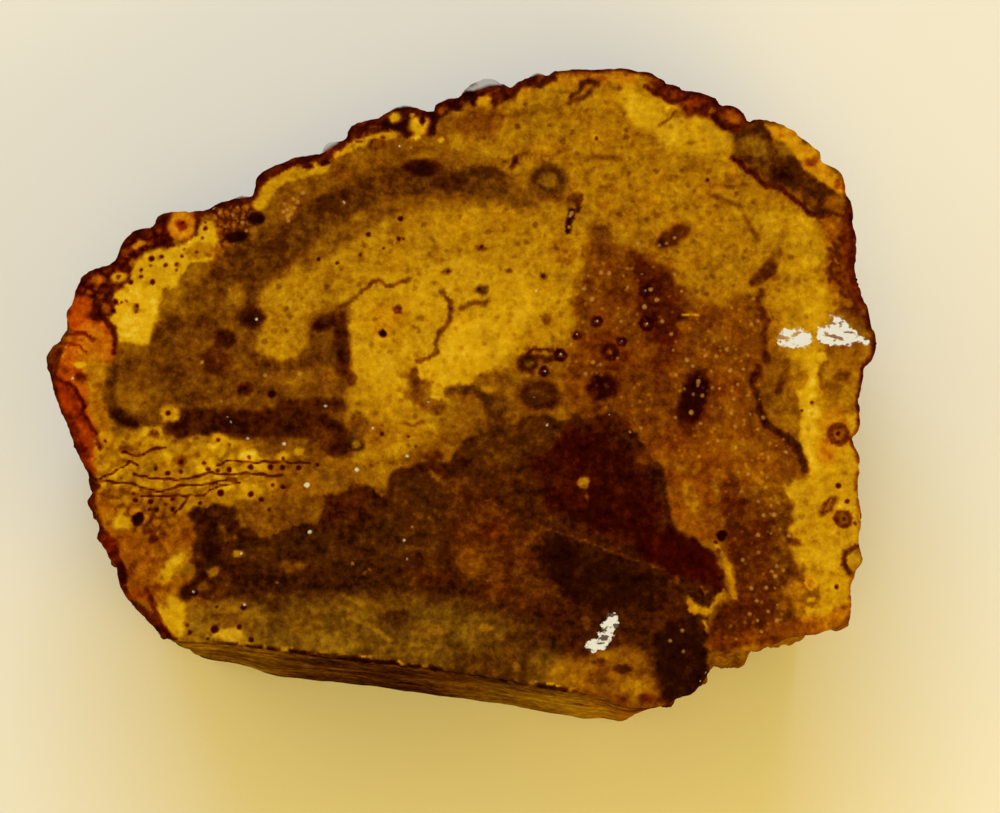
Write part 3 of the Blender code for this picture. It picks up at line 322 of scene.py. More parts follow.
# Streaks: points, half width, tone, redness, strength, softness
STREAKS = [
    ([(-23, 18.4), (-18, 22.4), (-12, 26.4), (-6, 27.6), (2, 28.6), (9, 28)], 1.0, 0.42, 0.0, 0.75, 1.2),
    # upper left rind and the yellow line under it
    ([(-30.7, 27.4), (-29.6, 29.6), (-28, 31), (-25, 32.6), (-21, 33.4)], 0.9, 0.80, 0.0, 0.95, 0.4),
    ([(-19, 35.4), (-16, 37), (-13, 38), (-10.6, 38.4)], 0.55, 0.82, 0.0, 0.95, 0.35),
    ([(-31, 30.8), (-30, 32.3), (-26, 34.3), (-21, 35.4), (-18, 38), (-16.5, 39.3), (-13, 41.2)], 0.8, 0.16,
     0.65, 0.95, 0.4),
    ([(-60, 4), (-59.2, 6), (-58.8, 8)], 0.15, 0.8, 0.3, 0.7, 0.2),
    ([(-58.8, 7.3), (-57, 7.5), (-55.4, 6.4)], 0.2, 0.22, 0.9, 0.9, 0.25),
    ([(-59.4, 5.8), (-57.4, 5.5), (-56.4, 4.6)], 0.15, 0.25, 0.9, 0.8, 0.25),
    ([(-56.2, 11.6), (-55.4, 9.9), (-53.7, 9.5), (-52.4, 8), (-51.9, 6), (-52.3, 4.4)], 0.35, 0.16, 0.6,
     0.95, 0.25),
    ([(-60.6, 0.3), (-58.5, -0.5), (-57.3, -2), (-56.5, -3.6), (-56.8, -5)], 0.25, 0.14, 0.8, 0.95, 0.25),
    ([(-56.3, -5.4), (-55.2, -6.8), (-54.4, -8.2), (-54, -10)], 0.25, 0.18, 0.8, 0.95, 0.25),
    ([(-58.6, -5.4), (-57.2, -8.8), (-55.8, -11.4)], 0.35, 0.2, 0.9, 0.8, 0.4),
    ([(-40.1, 26.3), (-40, 24.6), (-40.4, 23), (-42.2, 21.6)], 0.3, 0.14, 0.5, 0.95, 0.25),
    ([(-44.8, 25), (-44.9, 23.4), (-44, 22)], 0.35, 0.12, 0.6, 0.95, 0.25),
    ([(-52.4, 2), (-52.8, -2.4), (-51.8, -4.6)], 0.7, 0.26, -0.3, 0.8, 0.8),
    ([(-51.6, -5.0), (-50.4, -6.0), (-48.9, -6.4)], 0.6, 0.10, 0.0, 0.9, 0.9),
    ([(-42, -6.4), (-38, -6.2), (-33, -6.4), (-27, -6.4), (-21, -6.6), (-18.4, -9)], 1.9, 0.13, 0.1, 0.9,
     0.9),
    ([(-27, -3.9), (-22, -3.4), (-18.6, -3.6)], 0.9, 0.18, 0.1, 0.85, 0.6),
    ([(-21, 9), (-18.3, 9.4), (-17.8, 5), (-17.6, 1.6)], 0.9, 0.15, 0.1, 0.85, 0.8),
    ([(-22, 3.6), (-25, 2.4), (-29, 2.2), (-31.8, 4)], 0.5, 0.30, 0.0, 0.6, 0.6),
    ([(-53, -23.6), (-51.6, -26.5), (-50.4, -29.4)], 0.9, 0.11, 0.7, 0.95, 0.4),
    ([(-46.6, -31.4), (-45.6, -33.6), (-44.8, -36), (-43, -38.2)], 0.4, 0.22, 0.6, 0.9, 0.3),
    # back rim
    ([(-11.6, 40), (-9.6, 39.6), (-8, 40.2), (-7.7, 41.6), (-9.6, 42.2), (-11.6, 41.4)], 0.5, 0.06, 0.1,
     0.95, 0.3),
    ([(-8.4, 38.4), (-7.4, 39.4), (-6.8, 41.4), (-5.4, 42)], 0.4, 0.08, 0.2, 0.9, 0.25),
    ([(-4.6, 39), (-4, 41.4), (-3, 43.4), (-1, 43.9), (-0.6, 42.8)], 0.6, 0.07, 0.3, 0.95, 0.3),
    ([(0, 44.4), (1.6, 44.7), (2, 43.6)], 0.6, 0.05, 0.2, 0.95, 0.3),
    ([(3, 46.4), (4, 45.5), (5.6, 46.6), (6.8, 45.8), (8, 45.4)], 0.3, 0.12, 0.3, 0.9, 0.25),
    ([(5.6, 45), (5.2, 43.4), (4.6, 41.4)], 0.3, 0.2, 0.5, 0.95, 0.25),
    ([(6.6, 45.2), (6.2, 43.8), (7.4, 44.6), (8.8, 45.8), (10, 47.2)], 0.35, 0.16, 0.5, 0.95, 0.25),
    ([(10.2, 46.6), (12, 46.4), (14, 47.3)], 0.5, 0.14, 0.4, 0.95, 0.3),
    ([(28.2, 46), (30, 44.9), (31.5, 43.8), (33, 43.8), (34.6, 44.2)], 0.3, 0.18, 0.5, 0.95, 0.25),
    ([(32.8, 42.2), (31.5, 40.8), (30.2, 39.8)], 0.2, 0.38, 0.2, 0.9, 0.25),
    ([(38.4, 41.4), (40, 39.6), (42.4, 40)], 0.4, 0.14, 0.4, 0.9, 0.3),
    ([(41.4, 34.8), (44.5, 32.2), (46.4, 30.4), (48.6, 30), (51, 28), (53.2, 25.9), (56, 25.2)], 0.35, 0.16,
     0.4, 0.95, 0.3),
    ([(59, 26), (58.6, 22), (58.4, 18), (58.8, 15), (60, 12)], 0.7, 0.30, 0.6, 0.8, 0.5),
    ([(18.2, 29), (17.8, 27.6), (17.6, 26.6)], 0.35, 0.14, 0.2, 0.9, 0.3),
    ([(16.8, 26.4), (16.4, 25), (16.3, 23.2)], 0.38, 0.05, 0.2, 0.95, 0.25),
    ([(16.6, 43.4), (17, 44.6), (18, 45.2), (18.4, 46.6), (20, 46.9), (21, 46.2)], 0.35, 0.20, 0.0, 0.9,
     0.3),
    ([(16.8, 43.6), (18.4, 44.2), (19.6, 44.8), (20, 46)], 0.3, 0.26, 0.0, 0.8, 0.3),
    ([(18.4, 34.6), (21, 34.9), (24, 34.6)], 0.3, 0.42, 0.0, 0.8, 0.4),
    ([(5, 42), (8, 41.6), (12, 42), (15, 42.6)], 0.5, 0.50, 0.0, 0.6, 0.6),
    ([(37.6, 29), (40.6, 27.8), (42.3, 27.2), (43, 25.5), (44, 23.6), (45, 22)], 0.3, 0.36, 0.1, 0.8, 0.4),
    # lines in the middle
    ([(-18.5, 11.3), (-16.8, 12.3), (-15.3, 13.6), (-14.2, 14.5), (-13.3, 15.6), (-12, 15.4), (-11, 14.7),
     (-9.7, 15.2), (-8.8, 15.4), (-7.5, 16)], 0.28, 0.40, 0.15, 0.95, 0.22),
    ([(-2.6, 13.4), (-1.6, 12.4), (-1.6, 9.6), (-2.2, 8.5), (-3.3, 7.6), (-3.8, 6), (-3.5, 4.5), (-5, 3.5),
     (-6.5, 3.2)], 0.28, 0.38, 0.15, 0.95, 0.22),
    ([(-7.0, 1.6), (-6.4, -0.6), (-6.3, -2.8), (-4.6, -4.2), (-2.6, -4.4)], 0.5, 0.36, 0.2, 0.85, 0.5),
    ([(-6.3, 2.4), (-5.6, 0), (-5.0, -2.2), (-3.2, -2.4)], 0.2, 0.97, 0.0, 0.9, 0.25),
    ([(-9.5, -6.3), (-7, -6.6), (-5.4, -6.2)], 0.2, 0.45, 0.1, 0.8, 0.25),
    ([(0.2, 11.4), (2, 12.3), (3.6, 12)], 0.35, 0.38, 0.0, 0.9, 0.3),
    ([(-6.6, -13), (-4, -12.9), (-2.2, -14.4)], 0.25, 0.18, 0.5, 0.9, 0.25),
    ([(-4.6, -13.9), (-3, -15), (-1.6, -16.6)], 0.25, 0.48, 0.0, 0.7, 0.3),
    ([(-2, -1.6), (0, -1.1), (2.5, -1.4), (4.1, -3), (4.5, -5.4)], 0.6, 0.24, -0.3, 0.85, 0.5),
    ([(9, 4), (11, 4.9), (13, 4.9), (14.4, 4.4)], 0.25, 0.24, 0.3, 0.9, 0.25),
    ([(11.6, 3.8), (13, 3.4), (14.4, 3.8)], 0.4, 0.25, 0.3, 0.85, 0.3),
    ([(33.6, 10.2), (34.6, 10.4), (36, 10.35)], 0.12, 0.97, 0.0, 0.9, 0.2),
    # right side
    ([(45.4, 14), (45, 11.4), (46.2, 9.6), (45.5, 7.2), (45.5, 5), (46, 3.4)], 0.4, 0.24, 0.2, 0.85, 0.4),
    ([(44.8, 2.4), (44, 0.6), (43.8, -0.6), (44.5, -2), (44.8, -4), (45.4, -6)], 0.35, 0.19, 0.2, 0.9, 0.3),
    ([(45.5, -6.2), (47, -7.3), (48.5, -8.2), (50, -9.5), (50.8, -11), (51.5, -13.4)], 0.5, 0.14, 0.1, 0.95,
     0.3),
    ([(48.9, 3), (48.4, 0.6), (47.6, -1.4)], 0.5, 0.34, 0.1, 0.8, 0.4),
    ([(55.4, 5), (54.6, 3), (53.8, 1.2), (54.4, -1)], 0.3, 0.42, 0.1, 0.8, 0.3),
    ([(44.4, 15.4), (45.8, 16.6), (47.2, 18.2)], 0.8, 0.26, 0.1, 0.85, 0.5),
    ([(58.9, -24.9), (57.3, -26), (57, -27.6), (57.9, -29)], 0.35, 0.25, 0.2, 0.95, 0.25),
    ([(38.3, -25), (39.6, -27.5), (40.2, -30), (40.7, -32.6)], 0.4, 0.70, 0.0, 0.9, 0.25),
    ([(35.8, -31), (36.3, -31.8)], 0.2, 0.6, 0.0, 0.8, 0.2),
    ([(36.1, -35.8), (36.6, -37.4)], 0.2, 0.85, 0.0, 0.9, 0.2),
    # lower country
    ([(1.5, -17), (6, -19), (9, -20.7), (13, -22.3), (17, -23.6), (20, -24.8), (24, -26.2), (27, -27.3),
     (30.3, -28.3)], 0.08, 0.44, 0.0, 0.7, 0.2),
    ([(-39.4, -20.2), (-37.4, -21.4), (-36.9, -25), (-37.6, -29.6), (-40.6, -32)], 0.9, 0.10, 0.0, 0.85,
     0.7),
    ([(-35.4, -22), (-34.6, -24), (-33.6, -23.6)], 0.3, 0.46, -0.2, 0.8, 0.3),
    ([(-30, -30.4), (-24, -29.4), (-18, -30.2)], 1.0, 0.15, -0.1, 0.6, 1.2),
    ([(-17, -32.4), (-14, -33.6), (-9.6, -34.6)], 0.3, 0.56, -0.4, 0.7, 0.4),
    ([(-16.4, -35.4), (-13, -37), (-10.4, -39)], 0.25, 0.58, -0.4, 0.8, 0.3),
    ([(-12, -40), (-8, -39.4), (-3, -40)], 0.2, 0.56, -0.4, 0.6, 0.3),
    ([(-19, -33.6), (-15, -34.8), (-11, -34)], 0.15, 0.52, -0.4, 0.6, 0.3),
    ([(-14.6, -29), (-13.2, -28.3)], 0.1, 0.6, 0.0, 0.7, 0.15),
    ([(13, -46.3), (18, -47.1), (24, -47.8)], 0.5, 0.36, 0.4, 0.7, 0.5),
    ([(37, -39.5), (42, -38.6), (47, -37.4), (52, -37)], 0.7, 0.42, 0.35, 0.7, 0.6),
]

# Soft spots: x, y, half width, half height, turn in degrees, tone, redness, strength
SPOTS = [
    # upper left
    (-51.7, 16.1, 1.35, 0.95, 5, 0.84, 0.0, 1.0), (-51.7, 16.1, 0.5, 0.4, 0, 0.35, 0.4, 1.0),
    (-54.9, 15.7, 1.2, 0.8, 20, 0.60, 0.5, 1.0), (-48.8, 21.1, 1.3, 0.5, 25, 0.70, 0.3, 1.0),
    (-50.8, 20.2, 0.7, 0.5, 0, 0.45, 0.5, 0.8), (-42.4, 24.2, 2.0, 2.5, 0, 0.78, 0.45, 1.0),
    (-42.4, 24.3, 0.8, 0.9, 0, 0.45, 1.0, 1.0), (-39.4, 20.2, 2.2, 1.4, 10, 0.61, 0.1, 0.9),
    (-49, 11.3, 0.65, 1.0, 0, 0.50, 0.1, 0.95), (-58.2, 9.6, 1.2, 1.0, 0, 0.62, 1.0, 0.9),
    (-53.6, 11.5, 0.6, 0.7, 0, 0.58, 0.4, 0.8), (-54.4, 13.2, 0.6, 0.5, 0, 0.55, 0.4, 0.8),
    (-57.2, 2.6, 1.0, 0.6, 0, 0.88, 0.1, 1.0), (-57.0, 0.7, 0.9, 0.8, 0, 0.30, 0.6, 1.0),
    (-34.2, 22.4, 1.9, 0.95, 15, 0.02, 0.0, 1.0), (-31.1, 25.2, 1.3, 1.1, 0, 0.03, 0.0, 1.0),
    (-23.3, 33.4, 0.8, 0.5, 0, 0.12, 0.5, 1.0), (-21.0, 34.0, 0.8, 0.45, 0, 0.12, 0.4, 1.0),
    (-12.8, 36.9, 1.4, 1.0, 0, 0.30, 0.2, 0.9), (-12.8, 36.9, 0.8, 0.5, 0, 0.50, 0.2, 0.9),
    (-15.4, 37.3, 0.6, 0.3, 0, 0.3, 0.4, 0.8), (-11.8, 38.0, 0.5, 0.3, 0, 0.25, 0.4, 0.8),
    (-10.2, 41.1, 0.95, 0.85, 0, 0.85, 0.0, 1.0), (-7.5, 41.4, 0.4, 0.3, 0, 0.8, 0.0, 1.0),
    (-6.5, 39.8, 1.6, 1.5, 0, 0.84, 0.0, 1.0), (-7.0, 38.0, 0.7, 0.35, -15, 0.96, 0.0, 1.0),
    (-6.0, 40.7, 0.4, 0.6, 0, 0.08, 0.2, 1.0), (-3.0, 42.2, 0.7, 0.5, 0, 0.45, 0.5, 1.0),
    (-3.0, 37.7, 0.5, 0.4, 0, 0.90, 0.0, 0.9), (-15.5, 40.3, 1.2, 0.7, 20, 0.33, 0.8, 0.9),
    # brown country left
    (-35.4, 6.5, 1.7, 1.6, 0, 0.13, 0.1, 0.95), (-31.4, 9.9, 1.9, 1.6, 0, 0.11, 0.1, 0.95),
    (-33.9, 13.4, 1.6, 1.5, 0, 0.58, 0.0, 0.85), (-41.0, 11.0, 2.0, 1.6, 30, 0.50, 0.0, 0.7),
    (-38.5, 9.0, 1.6, 1.2, 0, 0.28, 0.0, 0.7), (-40.6, 5.4, 2.4, 1.4, 20, 0.52, 0.0, 0.7),
    (-45.0, 4.0, 1.8, 1.6, 0, 0.30, -0.2, 0.7), (-43.0, 1.0, 2.2, 1.4, 0, 0.30, -0.1, 0.7),
    (-48.8, -3.2, 2.2, 1.5, 0, 0.57, 0.0, 0.9), (-47.0, -0.2, 1.6, 1.2, 0, 0.42, 0.0, 0.8),
    (-49.5, 2.6, 2.2, 1.2, 0, 0.30, -0.3, 0.7), (-40.0, -2.6, 2.6, 1.2, 0, 0.26, 0.0, 0.7),
    (-34.4, -1.8, 1.6, 1.8, 0, 0.46, 0.0, 0.8), (-32.3, -1.0, 1.1, 1.0, 0, 0.17, 0.3, 0.9),
    (-25.0, 0.6, 3.4, 1.2, 0, 0.56, 0.0, 0.8), (-21.5, 8.4, 0.9, 0.7, 0, 0.15, 0.2, 0.8),
    (-36.8, 3.2, 2.4, 2.2, 0, 0.24, 0.2, 0.8), (-28.0, 20.5, 2.4, 1.4, 30, 0.26, -0.3, 0.7),
    (-24.0, 24.0, 2.0, 1.2, 35, 0.42, -0.3, 0.6), (-36.5, 16.5, 1.6, 1.2, 0, 0.22, -0.1, 0.7),
    (-17.7, 29.0, 0.7, 0.8, 0, 0.12, 0.1, 0.9), (-20.5, 28.0, 2.4, 1.2, 25, 0.20, -0.1, 0.7),
    (-5.6, 33.2, 2.8, 1.4, 0, 0.10, 0.2, 0.95), (-8.3, 33.2, 0.7, 0.6, 0, 0.08, 0.3, 0.9),
    (3.6, 32.4, 3.6, 0.9, -8, 0.20, -0.3, 0.9), (2.6, 30.2, 3.0, 0.9, -4, 0.38, -0.4, 0.8),
    (-1.4, 31.4, 2.6, 1.4, 0, 0.18, 0.0, 0.8), (8.2, 28.8, 2.6, 1.7, -20, 0.38, -0.2, 0.85),
    (-13.0, 31.0, 3.0, 1.0, 10, 0.22, 0.0, 0.7),
    # small features of the lower left
    (-43.6, -4.9, 1.5, 1.4, 0, 0.76, 0.0, 1.0), (-42.9, -5.3, 0.6, 0.6, 0, 0.88, 0.0, 0.9),
    (-46.0, -7.9, 0.9, 0.5, 10, 0.38, 0.3, 1.0), (-46.0, -7.9, 0.45, 0.22, 10, 0.60, 0.1, 1.0),
    (-53.2, -8.6, 1.2, 1.1, 0, 0.80, 0.1, 0.95), (-36.2, -8.7, 1.3, 1.0, 0, 0.80, 0.0, 1.0),
    (-28.0, -10.2, 3.0, 0.8, 0, 0.34, 0.0, 0.7), (-27.2, -12.4, 2.4, 1.2, 0, 0.46, 0.0, 0.6),
    (-20.6, -8.6, 2.0, 1.5, 0, 0.32, 0.0, 0.7), (-20.0, 0.4, 1.8, 1.6, 0, 0.52, 0.1, 0.7),
    (-34.5, -9.5, 0.9, 0.7, 0, 0.76, 0.0, 1.0), (-38.8, -9.0, 1.3, 1.0, 0, 0.60, -0.3, 0.9),
    (-41.7, -12.1, 0.9, 0.9, 0, 0.32, 0.3, 0.95), (-46.5, -13.0, 1.2, 1.0, 0, 0.54, -0.5, 0.8),
    (-31.7, -11.2, 1.5, 0.9, 0, 0.93, -0.1, 1.0), (-26.7, -11.4, 0.9, 0.6, 0, 0.84, 0.0, 1.0),
    (-24.2, -10.7, 0.9, 0.6, 0, 0.76, 0.0, 1.0), (-30.4, -12.9, 2.2, 0.6, 0, 0.80, 0.0, 0.9),
    (-28.2, -15.7, 1.0, 0.8, 0, 0.76, 0.0, 0.9), (-31.0, -16.8, 1.6, 1.2, 0, 0.78, -0.1, 0.9),
    (-34.9, -16.3, 0.9, 0.4, 15, 0.90, 0.0, 0.9), (-38.8, -18.3, 0.7, 0.5, 0, 0.76, 0.0, 0.9),
    (-50.2, -21.3, 1.5, 1.2, 0, 0.80, 0.0, 1.0), (-48.0, -20.8, 0.8, 0.9, 0, 0.06, 0.2, 1.0),
    (-46.6, -22.6, 0.8, 0.6, 0, 0.22, 0.3, 0.9), (-45.6, -23.9, 0.9, 0.5, 20, 0.24, 0.4, 0.9),
    (-44.4, -22.8, 0.6, 0.5, 0, 0.30, 0.3, 0.8), (-45.6, -18.8, 2.4, 1.2, 0, 0.42, 0.1, 0.6),
    (-49.8, -18.0, 1.0, 0.8, 0, 0.68, 0.1, 0.8), (-49.5, -10.6, 1.8, 0.5, -12, 0.36, 0.2, 0.7),
    (-52.4, -24.6, 1.4, 1.2, 0, 0.26, 0.9, 0.9), (-57.4, 11.6, 1.8, 1.8, 0, 0.62, 0.95, 0.9),
    (-52.6, -20.4, 1.2, 1.8, 0, 0.66, 0.3, 0.8), (8.4, -39.8, 3.0, 2.0, 0, 0.27, -0.3, 0.85),
    (-44.6, 4.0, 1.6, 1.4, 0, 0.46, 0.0, 0.8), (44.4, -19.6, 2.4, 1.6, 0, 0.42, 0.1, 0.7),
    (-35.0, -36.0, 2.4, 1.4, 0, 0.44, -0.4, 0.7), (-47.6, -11.2, 2.2, 1.2, 0, 0.66, 0.0, 0.6),
    (-47.0, -26.0, 2.0, 0.8, -10, 0.60, 0.3, 0.7), (-40.6, -23.4, 1.2, 1.4, 0, 0.36, 0.4, 0.8),
    (-42.4, -27.8, 2.1, 1.3, 50, 0.82, -0.1, 1.0), (-41.7, -28.4, 1.5, 0.8, 50, 0.60, -0.2, 0.9),
    (-43.8, -29.5, 0.9, 1.2, -30, 0.70, 0.0, 0.9), (-40.4, -28.6, 1.1, 1.0, 0, 0.52, -0.4, 0.9),
    (-36.6, -28.7, 1.1, 0.8, 20, 0.58, -0.2, 0.95), (-38.0, -31.0, 1.2, 0.8, 0, 0.40, -0.3, 0.8),
    (-33.0, -26.0, 0.8, 0.6, 0, 0.64, -0.2, 0.95), (-25.0, -27.8, 2.4, 1.1, 0, 0.36, 0.0, 0.8),
    (-23.9, -27.9, 0.9, 0.5, 0, 0.48, 0.0, 0.8), (-47.6, -32.2, 1.4, 1.0, 0, 0.52, 0.7, 0.8),
    # gold middle, and painted shade in a hollow at (-5.4, -1.2)
    (-16.4, 0.4, 0.8, 1.1, 0, 0.30, 0.2, 0.95), (-15.7, -9.5, 1.3, 1.3, 0, 0.12, -0.3, 0.95),
    (-15.7, -9.5, 0.75, 0.7, 0, 0.50, -0.7, 1.0), (-5.4, -1.2, 1.0, 2.0, 0, 0.50, 0.0, 0.8),
    (0.0, 5.2, 1.6, 1.2, 0, 0.97, 0.0, 0.8), (8.0, 9.6, 2.0, 1.0, 20, 0.92, 0.0, 0.7),
    (-4.0, -11.5, 1.6, 1.2, 0, 0.27, 0.2, 0.85), (-12.0, 2.4, 2.4, 1.6, 0, 0.82, 0.0, 0.7),
    (-11.0, 8.8, 4.0, 3.4, 0, 0.69, 0.1, 0.75), (-11.7, 7.4, 0.6, 0.6, 0, 0.04, 0.2, 1.0),
    (-28.4, -1.9, 0.6, 0.5, 0, 0.04, 0.2, 1.0), (-9.6, -0.2, 1.6, 2.2, 0, 0.78, 0.0, 0.8),
    (-12.0, -8.0, 3.0, 2.0, 0, 0.56, 0.1, 0.7), (-15.4, -6.8, 1.4, 2.2, 0, 0.36, 0.0, 0.7),
    (15.4, 20.2, 2.2, 2.4, 0, 0.54, 0.1, 0.7), (-0.2, -16.4, 2.6, 2.2, 0, 0.36, 0.1, 0.8),
    (-20.0, 16.4, 0.9, 2.6, 0, 0.52, 0.0, 0.7), (-15.2, 19.2, 0.5, 1.1, 0, 0.42, 0.1, 0.8),
    (-7.0, 8.5, 0.6, 0.3, -30, 0.48, 0.1, 0.8), (-6.3, 7.7, 0.3, 0.6, 0, 0.48, 0.1, 0.8),
    (-2.8, 13.8, 0.8, 0.5, 0, 0.42, 0.1, 0.9), (-2.2, 17.0, 0.8, 0.5, 0, 0.36, 0.1, 0.9),
    (-10.2, 26.4, 1.0, 0.5, 0, 0.40, 0.1, 0.8), (3.2, 14.2, 1.1, 0.9, 0, 0.34, -0.3, 0.95),
    (3.0, 20.7, 0.9, 0.5, 0, 0.34, 0.1, 0.9), (12.4, 16.3, 0.7, 0.65, 0, 0.30, 0.1, 0.95),
    (13.0, 9.6, 0.9, 0.85, 0, 0.40, 0.2, 0.95), (7.2, 17.1, 0.6, 0.4, 0, 0.40, 0.1, 0.8),
    (15.6, 18.6, 1.2, 0.4, 0, 0.48, 0.1, 0.7), (0.2, -5.4, 3.2, 3.0, 0, 0.50, -0.1, 0.8),
    (10.1, 2.8, 1.6, 1.6, 0, 0.17, 0.1, 0.95), (10.2, 2.8, 0.8, 0.7, 0, 0.46, -0.5, 0.9),
    (7.4, 0.4, 2.4, 0.9, 10, 0.46, -0.3, 0.8), (12.0, -2.0, 3.3, 2.4, -10, 0.15, 0.1, 0.95),
    (11.6, -2.4, 1.6, 1.1, 0, 0.27, -0.3, 0.8), (5.4, -3.8, 2.0, 1.8, 0, 0.28, -0.3, 0.85),
    (4.4, 0.4, 2.6, 1.2, 10, 0.42, -0.2, 0.8), (14.8, -5.0, 1.8, 0.8, -10, 0.50, 0.0, 0.8),
    (-0.5, 6.0, 1.8, 1.8, 0, 0.86, 0.0, 0.7), (8.0, 9.5, 3.0, 2.2, 0, 0.80, 0.0, 0.6),
    (5.0, 6.5, 2.4, 1.6, 0, 0.80, 0.0, 0.6),
    # dotted country
    (21.4, -0.8, 2.6, 1.9, 8, 0.07, 0.4, 1.0), (20.0, -1.6, 0.8, 0.6, 0, 0.20, 0.3, 0.8),
    (21.9, -0.6, 0.5, 0.4, 0, 0.34, -0.3, 0.9), (35.0, -2.6, 2.0, 4.6, -18, 0.07, 0.3, 1.0),
    (32.2, 22.4, 3.0, 1.4, 30, 0.24, 0.2, 0.9), (21.4, 22.8, 1.4, 1.2, -30, 0.34, 0.1, 0.8),
    (27.9, 13.9, 1.2, 1.1, 0, 0.08, 0.1, 0.95), (22.6, -6.6, 3.4, 1.4, 0, 0.18, 0.3, 0.8),
    (37.0, 9.0, 1.2, 1.4, 0, 0.32, 0.3, 0.7), (44.4, 36.6, 2.2, 1.5, -20, 0.53, -0.4, 0.8),
    (45.6, 33.6, 1.6, 0.8, -40, 0.40, -0.4, 0.7), (49.0, 36.2, 1.8, 0.9, -50, 0.54, -0.4, 0.7),
    (53.2, 34.0, 1.0, 0.6, -30, 0.30, 0.6, 0.9), (58.4, 30.0, 0.6, 1.2, 0, 0.35, 0.8, 0.8),
    (52.5, 28.6, 2.2, 0.7, -40, 0.42, 0.1, 0.7), (29.0, -1.0, 2.0, 2.4, 0, 0.34, 0.1, 0.6),
    (28.4, -5.0, 1.6, 1.4, 0, 0.30, 0.2, 0.6), (28.0, -11.4, 1.8, 1.4, 0, 0.40, 0.3, 0.7),
    (-8.0, 24.4, 3.2, 1.6, 10, 0.57, 0.0, 0.6), (40.0, -0.5, 2.4, 2.2, 0, 0.42, 0.4, 0.6),
    (34.4, -17.6, 1.2, 2.6, 15, 0.68, 0.1, 0.8), (36.2, -14.6, 1.4, 1.0, 0, 0.34, 0.4, 0.8),
    (40.5, -16.0, 1.4, 1.6, 0, 0.24, 0.3, 0.7), (33.0, 15.8, 1.4, 0.5, -50, 0.66, 0.1, 0.7),
    (34.0, 17.6, 1.4, 0.5, -40, 0.66, 0.1, 0.7), (46.6, 17.2, 1.6, 1.0, 30, 0.24, 0.1, 0.85),
    (47.8, 20.0, 0.8, 1.4, -20, 0.46, 0.0, 0.8), (50.8, 0.6, 0.7, 0.6, 0, 0.48, 0.1, 0.8),
    (57.3, 0.9, 1.5, 0.8, 15, 0.40, 0.2, 0.95), (50.9, 15.6, 0.5, 0.8, 0, 0.48, 0.1, 0.7),
    (57.4, 12.4, 0.8, 0.7, 0, 0.44, 0.3, 0.8),
    # yellow beads
    (54.3, 3.8, 0.9, 0.8, 0, 0.93, -0.1, 0.9), (53.1, 2.2, 0.8, 0.7, 0, 0.93, -0.1, 0.9),
    (52.6, -0.2, 0.8, 0.8, 0, 0.95, -0.1, 0.95), (52.7, -2.3, 0.7, 0.6, 0, 0.93, -0.1, 0.9),
    (53.0, -4.8, 0.9, 0.8, 0, 0.95, -0.1, 0.95), (52.6, -6.8, 0.7, 0.7, 0, 0.93, -0.1, 0.9),
    (54.8, -18.9, 1.8, 0.85, 50, 0.28, 0.3, 1.0), (54.8, -18.9, 1.0, 0.35, 50, 0.54, 0.1, 1.0),
    (38.9, -23.3, 0.8, 0.75, 0, 0.02, 0.1, 1.0), (49.8, -31.4, 1.7, 1.2, 0, 0.66, 0.1, 1.0),
    (50.3, -34.0, 1.1, 1.0, 0, 0.62, 0.1, 1.0), (51.7, -34.5, 0.6, 0.5, 0, 0.90, 0.0, 0.9),
    (33.6, 8.6, 1.2, 1.0, 0, 0.50, 0.1, 0.7), (38.6, 7.4, 1.4, 1.0, 20, 0.54, 0.0, 0.7),
    (32.2, -8.4, 2.4, 2.0, 20, 0.33, 0.4, 0.7), (41.6, -10.0, 2.6, 1.2, -20, 0.52, 0.0, 0.6),
    (37.4, -12.2, 1.6, 1.0, 0, 0.34, 0.4, 0.6), (30.6, 3.0, 1.6, 2.2, 0, 0.30, 0.3, 0.6),
    (24.0, 13.0, 2.4, 1.6, 0, 0.30, 0.3, 0.6), (20.6, 16.8, 2.0, 1.6, 0, 0.46, 0.2, 0.6),
    (47.6, -4.6, 1.6, 2.0, 0, 0.52, -0.1, 0.7), (56.2, -1.6, 1.0, 1.6, 0, 0.46, 0.0, 0.7),
    (52.0, -33.0, 0.5, 0.4, 0, 0.82, 0.0, 0.9), (47.8, -33.8, 0.9, 0.8, 0, 0.58, 0.1, 0.8),
    (58.7, -27.0, 0.8, 1.2, 0, 0.74, -0.3, 0.95),
    # back and right rim
    (1.0, 44.7, 1.0, 0.7, 0, 0.04, 0.1, 1.0), (3.4, 43.8, 1.3, 0.8, 20, 0.80, 0.1, 1.0),
    (4.9, 46.5, 0.8, 0.4, 0, 0.84, 0.0, 0.9), (9.5, 44.8, 1.4, 0.9, 30, 0.74, 0.1, 0.9),
    (35.4, 43.4, 1.4, 0.7, 0, 0.46, 0.6, 0.9), (41.4, 41.2, 1.6, 1.0, -30, 0.54, 0.5, 0.85),
    (13.2, 31.3, 2.9, 2.5, 0, 0.22, -0.5, 0.9), (13.2, 31.3, 1.5, 1.3, 0, 0.54, -0.3, 0.95),
    (17.2, 28.6, 1.2, 0.8, 30, 0.26, 0.0, 0.8), (8.1, 34.2, 0.4, 1.3, -20, 0.16, 0.3, 0.95),
    (22.0, 30.3, 1.1, 0.4, 10, 0.42, 0.1, 0.8), (41.0, 30.2, 1.0, 0.35, 0, 0.38, 0.1, 0.8),
    (35.2, 37.2, 1.1, 0.4, 10, 0.60, 0.0, 0.8), (13.0, 42.6, 3.4, 0.9, 10, 0.48, 0.0, 0.6),
    (26.0, 31.0, 2.6, 1.2, 30, 0.70, 0.0, 0.6), (28.6, 28.0, 2.6, 1.8, -20, 0.70, 0.0, 0.6),
    (24.0, 37.0, 3.0, 1.0, 10, 0.56, 0.0, 0.5), (53.4, 34.1, 1.3, 0.8, 20, 0.44, 0.5, 0.85),
